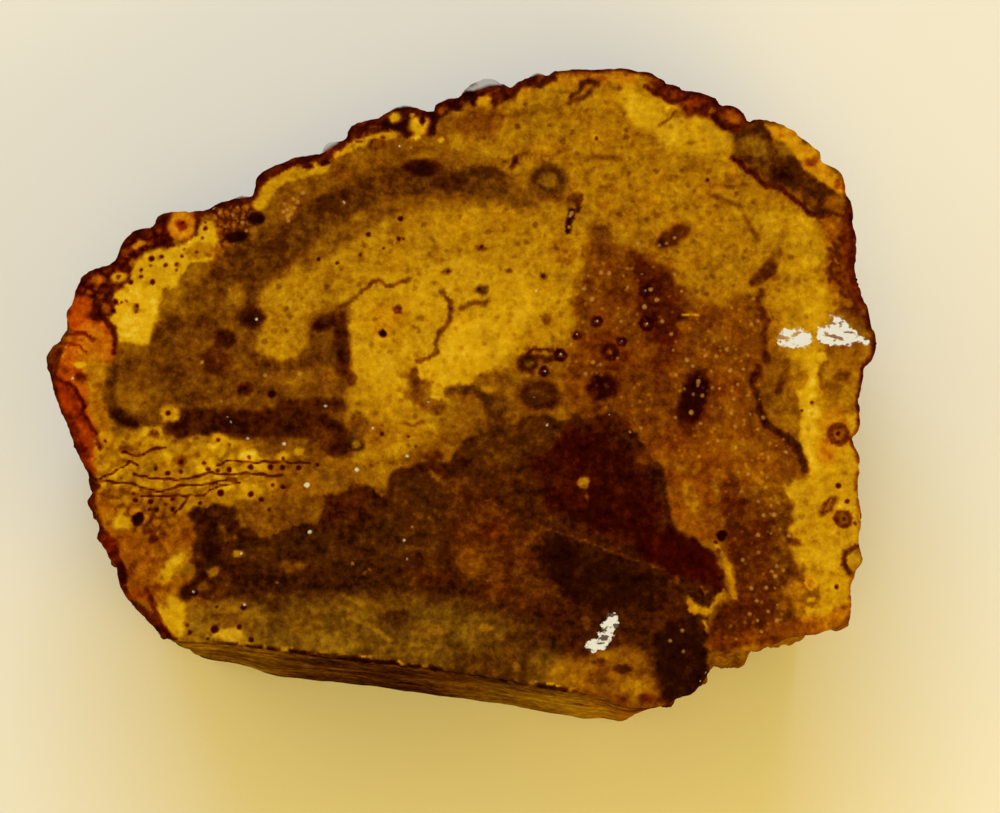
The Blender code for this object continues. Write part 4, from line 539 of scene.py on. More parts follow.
    (57.2, 30.6, 0.6, 0.8, 0, 0.45, 0.6, 0.8), (50.5, 22.0, 1.6, 1.2, 0, 0.70, 0.0, 0.6),
    (50.4, 11.4, 1.2, 2.0, 0, 0.60, 0.0, 0.6), (56.0, 12.6, 1.3, 2.2, 0, 0.74, 0.05, 0.7),
    (51.2, 0.8, 1.0, 2.2, 0, 0.52, 0.0, 0.6), (44.2, 4.6, 1.2, 1.8, 0, 0.52, 0.2, 0.6),
    (56.6, 27.6, 1.8, 1.4, 0, 0.54, 0.25, 0.85), (56.2, 23.8, 1.4, 2.0, 0, 0.58, 0.3, 0.75),
    (39.6, 36.4, 1.8, 2.4, 0, 0.76, 0.0, 0.7), (41.2, 24.6, 2.4, 2.8, 0, 0.76, 0.0, 0.45),
    (39.6, 20.0, 2.0, 1.8, 0, 0.69, 0.0, 0.6), (2.4, 40.2, 3.6, 2.6, 10, 0.45, 0.15, 0.85),
    # lower country
    (18.4, -15.3, 0.8, 0.9, 0, 0.62, -0.2, 1.0), (18.9, -17.4, 0.35, 0.6, 0, 0.5, 0.0, 0.8),
    (1.6, -27.0, 2.2, 2.4, 0, 0.42, 0.2, 0.85), (5.0, -22.6, 2.0, 1.6, 0, 0.30, 0.4, 0.6),
    (-7.0, -26.6, 1.6, 1.2, 0, 0.12, 0.0, 0.8), (5.0, -12.2, 2.6, 1.0, 10, 0.34, 0.1, 0.6),
    (-10.0, -35.6, 2.2, 1.3, 0, 0.26, -0.5, 0.85), (-4.8, -37.5, 2.3, 1.2, 10, 0.52, -0.4, 0.85),
    (4.0, -37.1, 1.1, 0.5, 5, 0.60, -0.3, 0.9), (-13.0, -34.0, 2.2, 1.0, -15, 0.50, -0.5, 0.7),
    (-24.0, -36.0, 3.6, 2.0, 0, 0.46, -0.5, 0.7), (-19.0, -39.4, 4.6, 1.8, -6, 0.56, -0.8, 0.85),
    (5.0, -43.0, 7.0, 2.4, -8, 0.26, -0.5, 0.9), (20.4, -44.6, 1.8, 1.1, 0, 0.34, 0.0, 0.8),
    (-27.6, -34.0, 1.2, 0.8, 0, 0.26, -0.2, 0.7), (10.0, -38.6, 2.4, 1.6, 0, 0.26, -0.6, 0.8),
    (-8.6, -36.4, 2.0, 2.0, 20, 0.27, -0.7, 0.7), (8.4, -43.0, 0.6, 0.8, 0, 0.56, -0.1, 0.8),
    (24.0, -43.2, 1.4, 0.7, 0, 0.13, 0.0, 0.95), (20.6, -42.2, 1.2, 0.6, 0, 0.26, 0.0, 0.8),
    (15.5, -43.6, 2.2, 1.4, 0, 0.62, 0.0, 0.8), (25.6, -46.0, 2.0, 1.2, 0, 0.66, 0.0, 0.8),
    (27.6, -47.6, 1.4, 0.8, 0, 0.32, 0.5, 0.8), (38.4, -25.7, 0.5, 0.4, 0, 0.30, 0.4, 0.9),
    (18.6, -36.4, 0.6, 1.2, 0, 0.38, 0.1, 0.8), (32.2, -30.0, 0.5, 0.6, 0, 0.34, 0.2, 0.8),
]

# Ringed cells: x, y, radius, ring width, ring tone, middle tone
RINGS = [
    (56.6, -8.0, 1.35, 0.65, 0.32, 0.50), (57.0, -20.8, 1.15, 0.45, 0.36, 0.48),
    (28.0, 8.8, 0.75, 0.55, 0.07, 0.5), (20.5, 9.3, 0.6, 0.45, 0.12, 0.5),
    (17.5, 7.2, 0.45, 0.4, 0.16, 0.5), (24.2, 6.1, 0.5, 0.45, 0.12, 0.45),
    (22.5, 4.6, 0.85, 0.7, 0.10, 0.55), (15.0, 4.1, 0.65, 0.5, 0.10, 0.45),
    (12.5, 1.6, 0.5, 0.45, 0.12, 0.5), (-9.6, 11.0, 0.45, 0.35, 0.30, 0.4),
    (52.0, -30.5, 0.75, 0.3, 0.88, 0.70), (-52.2, 12.2, 0.3, 0.25, 0.35, 0.6),
    (27.8, 13.9, 0.6, 0.5, 0.05, 0.3), (38.7, -1.0, 0.1, 0.2, 0.9, 0.9),
]

# Crisp dark pores: x, y, radius
PORES = [
    (-52.2, 12.3, 0.3), (-51.3, 12.2, 0.26), (-50.5, 12.4, 0.22), (-52.4, 10.9, 0.35), (-46.6, 15.4, 0.45),
    (-48.4, 16.2, 0.36), (-48.4, 17.2, 0.32), (-46.9, 19.0, 0.48), (-47.0, 17.9, 0.28), (-45.3, 19.3, 0.34),
    (-44.7, 18.0, 0.38), (-43.1, 18.1, 0.32), (-43.1, 17.2, 0.28), (-42.3, 19.4, 0.34), (-49.9, 15.3, 0.4),
    (-40.0, 20.0, 0.28), (-39.2, 22.2, 0.28), (-38.8, 23.7, 0.36), (-38.8, 24.6, 0.26), (-42.0, 20.4, 0.24),
    (-14.1, 22.8, 0.4), (-9.5, 22.1, 0.34), (-8.8, 22.1, 0.26), (-9.2, 25.2, 0.46), (-21.6, 18.9, 0.38),
    (-18.7, 18.3, 0.34), (-11.7, 20.6, 0.26), (-11.7, 7.4, 0.52), (-28.4, -1.9, 0.55), (-32.4, -1.0, 0.4),
    (-43.9, -4.8, 0.42), (-53.2, -9.0, 0.26), (-36.3, -8.9, 0.34), (-34.6, -9.6, 0.26), (-41.8, -12.2, 0.4),
    (-45.5, -13.3, 0.34), (-43.7, -13.9, 0.42), (-41.8, -13.7, 0.36), (-38.4, -12.4, 0.34),
    (-37.7, -13.3, 0.38), (-36.3, -12.6, 0.26), (-36.3, -13.5, 0.34), (-34.6, -13.4, 0.44),
    (-31.6, -11.5, 0.34), (-31.4, -13.0, 0.44), (-28.4, -13.0, 0.48), (-26.6, -13.1, 0.42),
    (-26.5, -11.7, 0.32), (-24.2, -13.1, 0.44), (-21.4, -12.6, 0.34), (-28.0, -15.7, 0.32),
    (-26.5, -16.0, 0.42), (-31.3, -17.1, 0.46), (-29.7, -17.9, 0.44), (-35.8, -16.9, 0.52),
    (-48.5, -18.0, 0.44), (-46.2, -18.2, 0.44), (-43.0, -17.8, 0.36), (-48.8, -17.0, 0.26),
    (-45.3, -19.4, 0.42), (-46.3, -19.4, 0.32), (-42.8, -19.4, 0.38), (-44.0, -18.6, 0.26),
    (-38.8, -18.4, 0.36), (-28.5, -19.4, 0.32), (-47.8, -20.2, 0.5), (-36.3, -37.3, 0.62),
    (-32.7, -37.0, 0.44), (-30.9, -38.9, 0.46), (-40.4, -36.7, 0.34), (-40.0, -37.8, 0.36),
    (-37.3, -38.9, 0.32), (-39.3, -32.0, 0.42), (-32.1, -34.1, 0.5), (-36.1, -34.0, 0.26),
    (56.4, -15.8, 0.48), (57.7, -18.2, 0.42), (57.1, -20.8, 0.3), (58.8, -21.5, 0.32), (55.8, -31.0, 0.42),
    (52.7, -3.2, 0.32), (51.2, -4.4, 0.24), (56.5, -7.9, 0.36), (20.6, 37.8, 0.3), (37.5, 31.3, 0.34),
    (38.9, -23.3, 0.75), (38.0, -24.3, 0.32), (-42.3, 24.6, 0.3), (-11.8, -8.0, 0.34), (-7.9, -8.3, 0.26),
    (-6.7, -9.8, 0.24), (12.4, 16.3, 0.3), (-48.9, 11.7, 0.3), (-49.0, 10.8, 0.24), (5.9, 46.4, 0.34),
    (33.0, -36.2, 0.3), (2.8, 14.3, 0.3), (3.1, 20.8, 0.34), (-2.0, 17.1, 0.28), (-15.2, 19.6, 0.28),
]

# Pale flecks: x, y; a few of them are painted glints, toned down: those in the slit near (16.6, 25), and
# (-25.6, 12.2), (-22.4, 12.7), (-27.0, 8.6), (-24.2, 1.2)
FLECKS_AND_GLINTS = [
    (21.2, 16.8), (22.4, 16.7), (24.6, 16.3), (19.3, 16.3), (27.3, 16.6), (32.4, 16.5), (18.6, 14.3),
    (20.5, 14.3), (25.2, 14.5), (28.7, 14.2), (33.4, 13.9), (19.8, 12.7), (29.6, 12.6), (27.7, 11.5),
    (24.2, 9.3), (30.4, 9.3), (31.7, 7.3), (23.6, 3.6), (32.0, 4.8), (19.9, 3.0), (21.0, 2.6), (18.8, 1.2),
    (36.8, 4.0), (38.5, 3.9), (40.8, 11.4), (44.2, 12.8), (43.8, 8.8), (44.8, 9.4), (39.9, 6.7),
    (40.0, 5.0), (43.2, 4.0), (34.0, 3.3), (34.9, 2.4), (37.6, 1.6), (40.5, 1.7), (42.5, 1.9), (32.4, 1.0),
    (37.8, -0.9), (41.7, -0.4), (40.8, -1.4), (43.2, -2.1), (41.0, -2.6), (44.9, -2.6), (39.0, -4.0),
    (40.6, -4.8), (43.4, -4.9), (45.4, -5.5), (42.5, -5.9), (41.2, -6.9), (48.3, -8.8), (47.2, -9.8),
    (48.7, -10.7), (42.3, -8.7), (38.5, -9.0), (43.5, -12.0), (46.0, -11.5), (26.0, -5.8), (27.0, -7.1),
    (32.2, -5.5), (36.0, -6.4), (25.3, -7.6), (35.7, 0.1), (35.6, -0.5), (33.6, -1.1), (36.3, -2.1),
    (34.9, -1.9), (34.6, -4.7), (44.4, -18.2), (46.3, -18.8), (45.2, -20.3), (46.7, -20.2), (44.3, -23.2),
    (46.3, -23.0), (41.9, -16.7), (41.5, -13.8), (43.0, -14.0), (45.7, -14.5), (48.9, -23.4), (44.4, -25.8),
    (42.0, -27.0), (47.0, -27.9), (46.2, -28.7), (46.8, -29.4), (48.0, -28.5), (45.4, -31.2), (46.7, -31.2),
    (43.2, -31.2), (44.0, -33.1), (45.6, -34.7), (47.0, -33.7), (42.9, -35.0), (44.0, -36.0), (46.9, -36.0),
    (44.6, -37.7), (40.8, -38.8), (-25.6, 12.2), (-22.4, 12.7), (-27.0, 8.6), (31.2, 21.4), (32.4, 22.2),
    (26.8, 21.4), (6.2, 35.0), (17.2, 36.0), (-7.7, 36.4), (-0.6, 36.2), (-24.2, 1.2), (30.0, 21.0),
    (32.9, -37.5), (31.0, -39.0), (33.0, -40.6), (-16.0, -27.5), (-27.2, -30.4), (-7.2, -22.0),
    (-27.0, 26.3), (-26.3, 25.6), (-26.5, 26.7), (-25.8, 26.0), (-26.2, 24.9), (-25.3, 26.9), (-24.8, 27.8),
    (-26.9, 27.5), (-25.5, 28.3), (-28.6, 29.0), (-24.0, 29.2), (16.8, 26.1), (16.6, 25.7), (16.4, 23.9),
    (-33.2, 24.6), (-34.6, 25.8), (-35.8, 24.0), (-36.6, 26.2), (-34.0, 27.0), (-32.6, 23.4), (-37.6, 27.0),
    (-46.7, 14.0), (-39.0, 3.0), (-36.0, -3.0), (-29.4, 1.0),
]

# Painted glints, small white highlights: x, y, radius
PAINTED_GLINTS = [
    (-22.9, -15.7, 0.42), (-22.4, -22.8, 0.32), (-15.5, -13.4, 0.36), (-20.3, -3.7, 0.24),
    (-13.2, -7.1, 0.2), (-4.8, -3.1, 0.2), (-8.0, -11.3, 0.24), (-26.4, -9.5, 0.28), (-31.9, -8.6, 0.24),
    (-17.8, 27.8, 0.22), (-30.8, 9.6, 0.22), (-35.0, -5.4, 0.14), (-34.4, -6.2, 0.16), (-58.3, 0.5, 0.26),
    (-32.0, -33.6, 0.24), (-39.6, -31.7, 0.2), (-32.6, -26.0, 0.2), (-8.4, -24.0, 0.22), (-7.9, -26.9, 0.2),
    (11.4, 14.1, 0.2), (11.0, -2.4, 0.18), (13.0, -6.6, 0.22), (36.3, -43.9, 0.22), (35.6, -45.0, 0.2),
    (34.2, -46.0, 0.2), (12.7, 47.9, 0.3), (-19.3, 37.2, 0.2), (20.6, 9.4, 0.16), (28.1, 8.9, 0.16),
    (17.5, 7.3, 0.14), (15.1, 4.2, 0.18), (12.6, 1.6, 0.14), (27.9, 14.1, 0.16), (24.3, 6.2, 0.12),
    (41.9, -10.2, 0.14), (22.3, -5.0, 0.14), (4.1, -30.2, 0.14), (-9.4, 36.6, 0.16),
]

# Dark cracks, as chains of points
CRACKS = [
    [(-54.8, -14.8), (-52, -15.4), (-50, -15.2), (-47.5, -16.2), (-45, -16.6), (-43, -16.3), (-42, -15.7),
     (-39, -15.7), (-36.5, -15.3), (-35, -14.7), (-33.5, -14.8)],
    [(-48.8, -14.2), (-46, -14.6), (-42.5, -14.9), (-40, -14.6), (-37.5, -13.9), (-34, -14.1), (-31, -13.9),
     (-29, -14.3), (-26.6, -14.3)],
    [(-47.5, -17.4), (-45.5, -17.4), (-43.5, -17.5), (-42.2, -17.1), (-41, -17.6), (-40.3, -17.2),
     (-38.5, -17.3), (-37.5, -16.6), (-36, -16), (-33, -15.3)],
    [(-42.8, -20), (-41.8, -19.3), (-41, -18), (-40.4, -17.3)],
    [(-54.5, -14.8), (-52, -14), (-50.5, -13), (-49.5, -12.1), (-48.3, -12.7)],
    [(-50.5, -10.7), (-48.5, -11.3), (-46, -10.3), (-44, -9.9)],
    [(-36.5, -12.8), (-35, -12), (-33.5, -12.1), (-32, -12.4), (-30, -12.2), (-26, -12.3), (-22.5, -12.2)],
]

# Scuffed white marks: points, half width
MARKS = [
    ([(49.2, 6.7), (51.5, 6.6)], 1.45),
    ([(55.0, 7.2), (58.4, 6.8)], 1.35),
    ([(56.7, 9.2), (57.3, 8.6)], 1.0),
    ([(59.6, 6.6), (60.8, 6.2)], 0.6),
    ([(19.7, -39.8), (21.0, -39.2), (21.6, -37.8), (22.5, -36.0)], 1.0),
]

# Country where pale flecks lie thick
FLECKED = [
    (17, 13), (20, 19), (27, 20), (33, 17), (34, 12), (40, 13), (45, 13), (46, 4), (46, -6), (50, -9),
    (50, -14), (48, -16), (49, -22), (49, -30), (49, -37), (42, -39.5), (38, -38), (41, -33), (41, -28),
    (38, -23), (36, -15), (30, -9), (22, -7), (17, -2), (15, 4),
]

# Netted country of the rim: outline, cell size, line tone, palest cell's tone, redness, strength
NETS = [
    ([(-60, 10), (-57, 19), (-47, 27), (-44, 27), (-44.6, 22.5), (-50.5, 19), (-51, 14.5), (-52.6, 13.6),
     (-53, 10)], 1.5, 0.08, 0.50, 0.6, 0.9),
    ([(-38.6, 19.6), (-36.6, 22), (-38, 27), (-31, 29.4), (-31, 25), (-33, 22)], 1.2, 0.16, 0.72, 0.3, 0.8),
    ([(-31, 29), (-31.4, 32), (-24, 36), (-16, 41), (-12.4, 41), (-12.6, 38.8), (-20, 34.4), (-29, 31.6)],
     1.3, 0.13, 0.60, 0.6, 0.85),
    ([(-13, 38.4), (-13, 42), (-8, 44), (-3.6, 44), (-1, 46), (8, 48), (8, 44.4), (1, 43.6), (-3.8, 40.6),
     (-4, 38.4)], 1.5, 0.06, 0.60, 0.4, 0.85),
    ([(4, 46), (8, 48), (14, 49.6), (13, 46.6), (7.4, 43.6), (4.6, 42.4)], 1.6, 0.18, 0.72, 0.5, 0.7),
    ([(28, 46.2), (31, 43.8), (35, 42), (38, 41), (42, 38.4), (44, 40.6), (42, 43), (36, 46), (30, 48)],
     1.7, 0.16, 0.56, 0.6, 0.8),
    ([(55.4, 14), (55.4, 22), (54, 25.6), (60, 27), (60.6, 20), (61, 12), (59.4, 10)], 1.8, 0.20, 0.66,
     0.25, 0.85),
    ([(-54.4, -17), (-50.4, -15.6), (-42, -17), (-42, -21), (-44.6, -24.6), (-50.4, -22.4)], 1.7, 0.30,
     0.90, 0.2, 0.7),
    ([(-53.6, -22), (-42, -24), (-43, -30), (-43.6, -34), (-48, -33)], 3.0, 0.40, 0.66, 0.35, 0.6),
    ([(-55, -9), (-45, -8), (-34, -10), (-29, -11), (-28, -15.4), (-36, -17.4), (-46, -16), (-54, -16)],
     2.1, 0.56, 0.98, 0.0, 0.6),
]

# Width of the dark rind along the bark: direction from the middle in degrees, width
RIND_WIDTHS = [
    (-180, 0.35), (-170, 0.4), (-158, 0.5), (-150, 1.0), (-140, 0.7), (-135, 0.2), (-40, 0.0), (-10, 0.25),
    (2, 0.5), (10, 0.8), (24, 0.9), (28, 0.0), (40, 0.0), (43, 0.7), (50, 0.8), (56, 0.5), (75, 0.35),
    (82, 0.6), (92, 0.9), (105, 0.9), (125, 0.8), (135, 0.5), (150, 0.9), (165, 0.7), (172, 0.2),
    (180, 0.35),
]

# How the painted features waver: size, amount and seed of each bend
PATCH_BENDS = [(3.1, 0.6, 1), (1.1, 0.36, 2), (0.5, 0.18, 3)]
STREAK_BENDS = [(1.3, 0.25, 7), (0.5, 0.10, 8)]
CRACK_BENDS = [(1.3, 0.28, 9)]
DOT_BENDS = [(0.9, 0.12, 5)]

# Half sizes of the face, and the share of them past which the rind is looked for
HALF_LENGTH = 63.0
HALF_DEPTH = 50.0
RIND_STARTS = 0.70
RIND_STRENGTH = 0.85
RIND_TONE = 0.15
RIND_RED = 0.6

# Painted shadow along the chipped lip of the front edge, and the pale sliver beside it
LIP_SHADOW_WIDTH = 0.40
LIP_SHADOW_TONE = 0.03
LIP_SHADOW_RED = 0.1
SLIVER_PLACE = 0.18
SLIVER_TONE = 0.90
SLIVER_RED = -0.5

# Tone before anything is laid, and redness of the ringed cells
PLAIN_TONE = 0.5
RING_RED = 0.5

# Distance given to places away from every small mark
FAR = 3.0


def lattice(x, y, seed):
    """A repeatable number from 0 to 1 for each whole-number place."""
    h = np.sin(x * 127.1 + y * 311.7 + seed * 74.7) * 43758.5453
    return h - np.floor(h)


def noise2(x, y, seed=0.0):
    """Smooth noise from -1 to 1 over a plane."""
    x0, y0 = np.floor(x), np.floor(y)
    fx, fy = x - x0, y - y0
    total = 0.0
    for dx in (0, 1):
        for dy in (0, 1):
            turn = 6.2832 * lattice(x0 + dx, y0 + dy, seed)
            slope = np.cos(turn) * (fx - dx) + np.sin(turn) * (fy - dy)
            wx = (1 - fx if dx == 0 else fx)
            wy = (1 - fy if dy == 0 else fy)
            total = total + slope * wx ** 2 * (3 - 2 * wx) * wy ** 2 * (3 - 2 * wy)
    return 1.5 * total


def ramp(low, high, value):
    """Smooth rise from 0 to 1 between two values."""
    t = np.clip((value - low) / (high - low), 0.0, 1.0)
    return t * t * (3.0 - 2.0 * t)


def chain_distance(x, y, points):
    """Distance to a chain of straight stretches."""
    best = np.full(x.shape, 1e3)
    for (ax, ay), (bx, by) in zip(points, points[1:]):
        ux, uy = bx - ax, by - ay
        t = np.clip(((x - ax) * ux + (y - ay) * uy) / (ux * ux + uy * uy), 0, 1)
        best = np.minimum(best, np.hypot(x - ax - t * ux, y - ay - t * uy))
    return best


def patch_distance(x, y, outline):
    """Distance to a patch's outline, negative inside."""
    inside = np.zeros(x.shape, bool)
    closed = list(outline) + [outline[0]]
    for (ax, ay), (bx, by) in zip(closed, closed[1:]):
        if ay != by:
            crosses = ((ay > y) != (by > y)) & (x < (bx - ax) * (y - ay) / (by - ay) + ax)
            inside ^= crosses
    d = chain_distance(x, y, closed)
    return np.where(inside, -d, d)


def near(x, y, points, reach):
    """The places within reach of the points' box."""
    xs, ys = [p[0] for p in points], [p[1] for p in points]
    return ((x > min(xs) - reach) & (x < max(xs) + reach) & (y > min(ys) - reach) & (y < max(ys) + reach))


def blend(field, pick, value, weight):
    """Moves the picked places of a field towards a value."""
    field[pick] += (value - field[pick]) * weight


def warped(x, y, bends):
    """The places pushed about by smooth noise: bends give size, amount and seed."""
    wx, wy = x, y
    for size, amount, seed in bends:
        wx = wx + amount * noise2(x / size, y / size, seed)
        wy = wy + amount * noise2(x / size, y / size, seed + 0.5)
    return wx, wy


def rind_share(x, y):
    """How strongly a place belongs to the dark rind along the bark, 0 to 1."""
    share = np.zeros(x.shape)
    pick = np.hypot(x / HALF_LENGTH, y / HALF_DEPTH) > RIND_STARTS
    px, py = x[pick], y[pick]
    distance = chain_distance(px, py, BARK_RIM)
    angles, widths = zip(*RIND_WIDTHS)
    width = np.interp(np.degrees(np.arctan2(py, px)), angles, widths)
    width = width * (1.0 + 0.7 * noise2(px / 2.6, py / 2.6, 61) + 0.4 * noise2(px / 0.9, py / 0.9, 62))
    share[pick] = 1.0 - ramp(width - 0.2, width + 0.3, distance)
    return share


def cells(x, y, pitch, seed):
    """Distance to the edge of scattered cells, in pitches, and a number from 0 to 1 for each cell."""
    gx, gy = np.floor(x / pitch), np.floor(y / pitch)
    first, second, number = np.full(x.shape, 9.0), np.full(x.shape, 9.0), np.zeros(x.shape)
    for dx in (-1, 0, 1):
        for dy in (-1, 0, 1):
            cx, cy = gx + dx, gy + dy
            away_x = cx + 0.9 * lattice(cx, cy, seed) - x / pitch
            away_y = cy + 0.9 * lattice(cx, cy, seed + 1) - y / pitch
            d = np.hypot(away_x, away_y)
            closer = d < first
            second = np.where(closer, first, np.minimum(second, d))
            number = np.where(closer, lattice(cx, cy, seed + 2), number)
            first = np.minimum(first, d)
    return second - first, number


def lay_lip_shadow_and_sliver(x, y, tone, red):
    """A painted shadow line along the chipped lip of the front edge, with a broken pale sliver on its inner
    side.
    """
    chips = LIP_SHADOW_WIDTH + 0.26 * noise2(x / 1.1, y / 1.1, 65) + 0.14 * noise2(x / 0.5, y / 0.5, 67)
    inside = chain_distance(x, y, SPLIT_RIM) - chips
    along = ramp(-39.0, -31.0, x) * (1 - ramp(13.0, 19.0, x))
    here_and_there = ramp(-0.3, 0.1, noise2(x / 2.6, y / 2.6, 66))
    sliver = 0.8 * along * here_and_there * (1 - ramp(0.06, 0.22, np.abs(inside - SLIVER_PLACE)))
    tone += (SLIVER_TONE - tone) * sliver
    red += (SLIVER_RED - red) * sliver
    # painted shadow: the dark line along the lip
    dark = 0.9 * along * (1 - ramp(-0.08, 0.08, inside))
    tone += (LIP_SHADOW_TONE - tone) * dark
    red += (LIP_SHADOW_RED - red) * dark


def lay(tone, red, pick, new_tone, new_red, weight):
    """Blends a feature's tone and redness into the picked places."""
    blend(tone, pick, new_tone, weight)
    blend(red, pick, new_red, weight)


def lay_patches(x, y, tone, red):
    for outline, patch_tone, patch_red, strength, soft in PATCHES:
        pick = near(x, y, outline, 2 * soft)
        weight = strength * (1 - ramp(-soft, soft, patch_distance(x[pick], y[pick], outline)))
        lay(tone, red, pick, patch_tone, patch_red, weight)


def lay_nets(x, y, tone, red):
    for outline, pitch, line, pale, net_red, strength in NETS:
        pick = near(x, y, outline, 1.0)
        edge, number = cells(x[pick], y[pick], pitch, 71)
        net_tone = line + (pale - line) * ramp(0.08, 0.5, edge) * (0.3 + 0.7 * number)
        weight = strength * (1 - ramp(-0.4, 0.4, patch_distance(x[pick], y[pick], outline)))
        lay(tone, red, pick, net_tone, net_red, weight)


def lay_streaks(x, y, tone, red):
    for points, half, streak_tone, streak_red, strength, soft in STREAKS:
        pick = near(x, y, points, half + 2 * soft)
        away = chain_distance(x[pick], y[pick], points)
        weight = strength * (1 - ramp(half - soft * 0.5, half + soft, away))
        lay(tone, red, pick, streak_tone, streak_red, weight)


def lay_rind(x, y, tone, red):
    """The dark, unevenly coloured rind along the bark."""
    rind = RIND_STRENGTH * rind_share(x, y)
    tone += (RIND_TONE + 0.13 * noise2(x / 1.1, y / 1.1, 63) - tone) * rind
    red += (RIND_RED - red) * rind


def lay_spots(x, y, tone, red):
    for cx, cy, half_width, half_height, turn, spot_tone, spot_red, strength in SPOTS:
        pick = near(x, y, [(cx, cy)], 1.6 * max(half_width, half_height))
        cos, sin = np.cos(np.radians(turn)), np.sin(np.radians(turn))
        across, up = x[pick] - cx, y[pick] - cy
        reach = np.hypot((across * cos + up * sin) / half_width, (-across * sin + up * cos) / half_height)
        lay(tone, red, pick, spot_tone, spot_red, strength * (1 - ramp(0.65, 1.3, reach)))


def lay_rings(x, y, tone, red):
    """Ringed cells: the middle in its own tone, then the ring round it."""
    for cx, cy, radius, width, ring_tone, middle_tone in RINGS:
        pick = near(x, y, [(cx, cy)], radius + width + 0.6)
        away = np.hypot(x[pick] - cx, y[pick] - cy)
        blend(tone, pick, middle_tone, 1 - ramp(radius - 0.2, radius, away))
        band = 1 - ramp(width * 0.45, width * 0.9, np.abs(away - radius))
        blend(tone, pick, ring_tone, band)
        blend(red, pick, RING_RED, 0.8 * band)


def painted_tones(x, y):
    """Tone and redness of the face, from the broad patches to the rings, each laid over the last."""
    tone = np.full(x.shape, PLAIN_TONE)
    red = np.zeros(x.shape)
    lay_patches(*warped(x, y, PATCH_BENDS), tone, red)
    nx, ny = warped(x, y, STREAK_BENDS)
    lay_nets(nx, ny, tone, red)
    lay_streaks(nx, ny, tone, red)
    lay_rind(x, y, tone, red)
    lay_lip_shadow_and_sliver(x, y, tone, red)
    lay_spots(nx, ny, tone, red)
    lay_rings(*warped(x, y, DOT_BENDS), tone, red)
    return tone, red


def dot_distance(x, y, dots):
    """Distance to the nearest dot's edge, negative inside it."""
    best = np.full(x.shape, FAR)
    for cx, cy, radius in dots:
        pick = near(x, y, [(cx, cy)], 2.0)
        best[pick] = np.minimum(best[pick], np.hypot(x[pick] - cx, y[pick] - cy) - radius)
    return best


def line_distance(x, y, lines):
    """Distance to the nearest line's edge: lines are points and half width."""
    best = np.full(x.shape, FAR)
    for points, half in lines:
        pick = near(x, y, points, FAR)
        best[pick] = np.minimum(best[pick], chain_distance(x[pick], y[pick], points) - half)
    return best


def paint(x, y):
    """The painted values of places on the face, in the order of FIELDS, less the last two."""
    tone, red = painted_tones(x, y)
    qx, qy = warped(x, y, DOT_BENDS)
    kx, ky = warped(x, y, CRACK_BENDS)
    pale = [(cx, cy, 0.2 + 0.16 * float(lattice(cx, cy, 4))) for cx, cy in FLECKS_AND_GLINTS]
    country = 1.0 - ramp(-1.5, 0.8, patch_distance(qx, qy, FLECKED))
    return np.column_stack([
        tone, red, dot_distance(qx, qy, PORES), line_distance(kx, ky, [(c, 0.0) for c in CRACKS]),
        line_distance(qx, qy, MARKS), dot_distance(qx, qy, pale), dot_distance(qx, qy, PAINTED_GLINTS), country,
    ])


# Colours by tone, as they look on screen: the plain gold, the reddest red and the greenest olive
GOLD = [
    (0.0, (24, 3, 0)), (0.12, (44, 11, 0)), (0.28, (80, 33, 1)), (0.42, (118, 61, 3)), (0.56, (152, 91, 4)),
    (0.70, (184, 123, 5)), (0.84, (210, 151, 8)), (0.93, (226, 168, 14)), (1.0, (234, 190, 50)),
]
RED = [
    (0.0, (34, 0, 0)), (0.12, (62, 3, 0)), (0.28, (98, 14, 0)), (0.42, (130, 34, 0)), (0.56, (164, 48, 0)),
    (0.70, (200, 76, 4)), (0.84, (220, 112, 12)), (0.93, (224, 146, 14)), (1.0, (234, 176, 30)),
]
OLIVE = [
    (0.0, (22, 5, 1)), (0.12, (42, 18, 1)), (0.28, (74, 40, 3)), (0.42, (106, 67, 6)),
    (0.56, (140, 97, 12)), (0.70, (168, 123, 20)), (0.84, (196, 152, 34)), (0.93, (212, 176, 52)),
    (1.0, (228, 200, 80)),
]


# Shape of the stone

def smooth_step(low, high, value):
    """Smooth rise of one number from 0 to 1 between two values."""
    t = min(max((value - low) / (high - low), 0.0), 1.0)
    return t * t * (3.0 - 2.0 * t)


def soft_limit(value, top):
    """The value, bent over smoothly where it would pass the top."""
    gap = (top - value) / BULGE_SOFTNESS
    bend = math.log1p(math.exp(gap)) - math.log(2.0) * math.exp(-gap ** 2)
    return top - BULGE_SOFTNESS * bend


def through(points, steps):
    """A closed smooth curve through the points, as a fine chain."""
    p1 = np.array(points)
    p0, p2, p3 = (np.roll(p1, k, axis=0) for k in (1, -1, -2))
    chain = []
    for k in range(steps):
        t = k / steps
        chain.append(0.5 * (2 * p1 + (p2 - p0) * t + (2 * p0 - 5 * p1 + 4 * p2 - p3) * t * t
                            + (3 * p1 - p0 - 3 * p2 + p3) * t ** 3))
    return np.stack(chain, 1).reshape(-1, 2)


def spaced(chain, count):
    """Points at equal distances along a closed chain."""
    closed = np.vstack([chain, chain[:1]])
    travelled = np.concatenate([[0.0], np.cumsum(np.hypot(*np.diff(closed, axis=0).T))])
    places = np.arange(count) * travelled[-1] / count
    return np.stack([np.interp(places, travelled, closed[:, k]) for k in (0, 1)], 1), travelled[-1] / count


def averaged(ring, reach):
    """The ring's course with its small lobes averaged away."""
    return sum(np.roll(ring, k, axis=0) for k in range(-reach, reach + 1)) / (2 * reach + 1)


def outward(ring, reach):
    """Level directions away from the stone along a clockwise ring, smoothed over the neighbours."""
    total = np.zeros(ring.shape)
    for k in range(1, reach + 1):
        along = np.roll(ring, -k, axis=0) - np.roll(ring, k, axis=0)
        along /= np.hypot(*along.T)[:, None]
        total += np.stack([-along[:, 1], along[:, 0]], 1)
    return total / np.hypot(*total.T)[:, None]


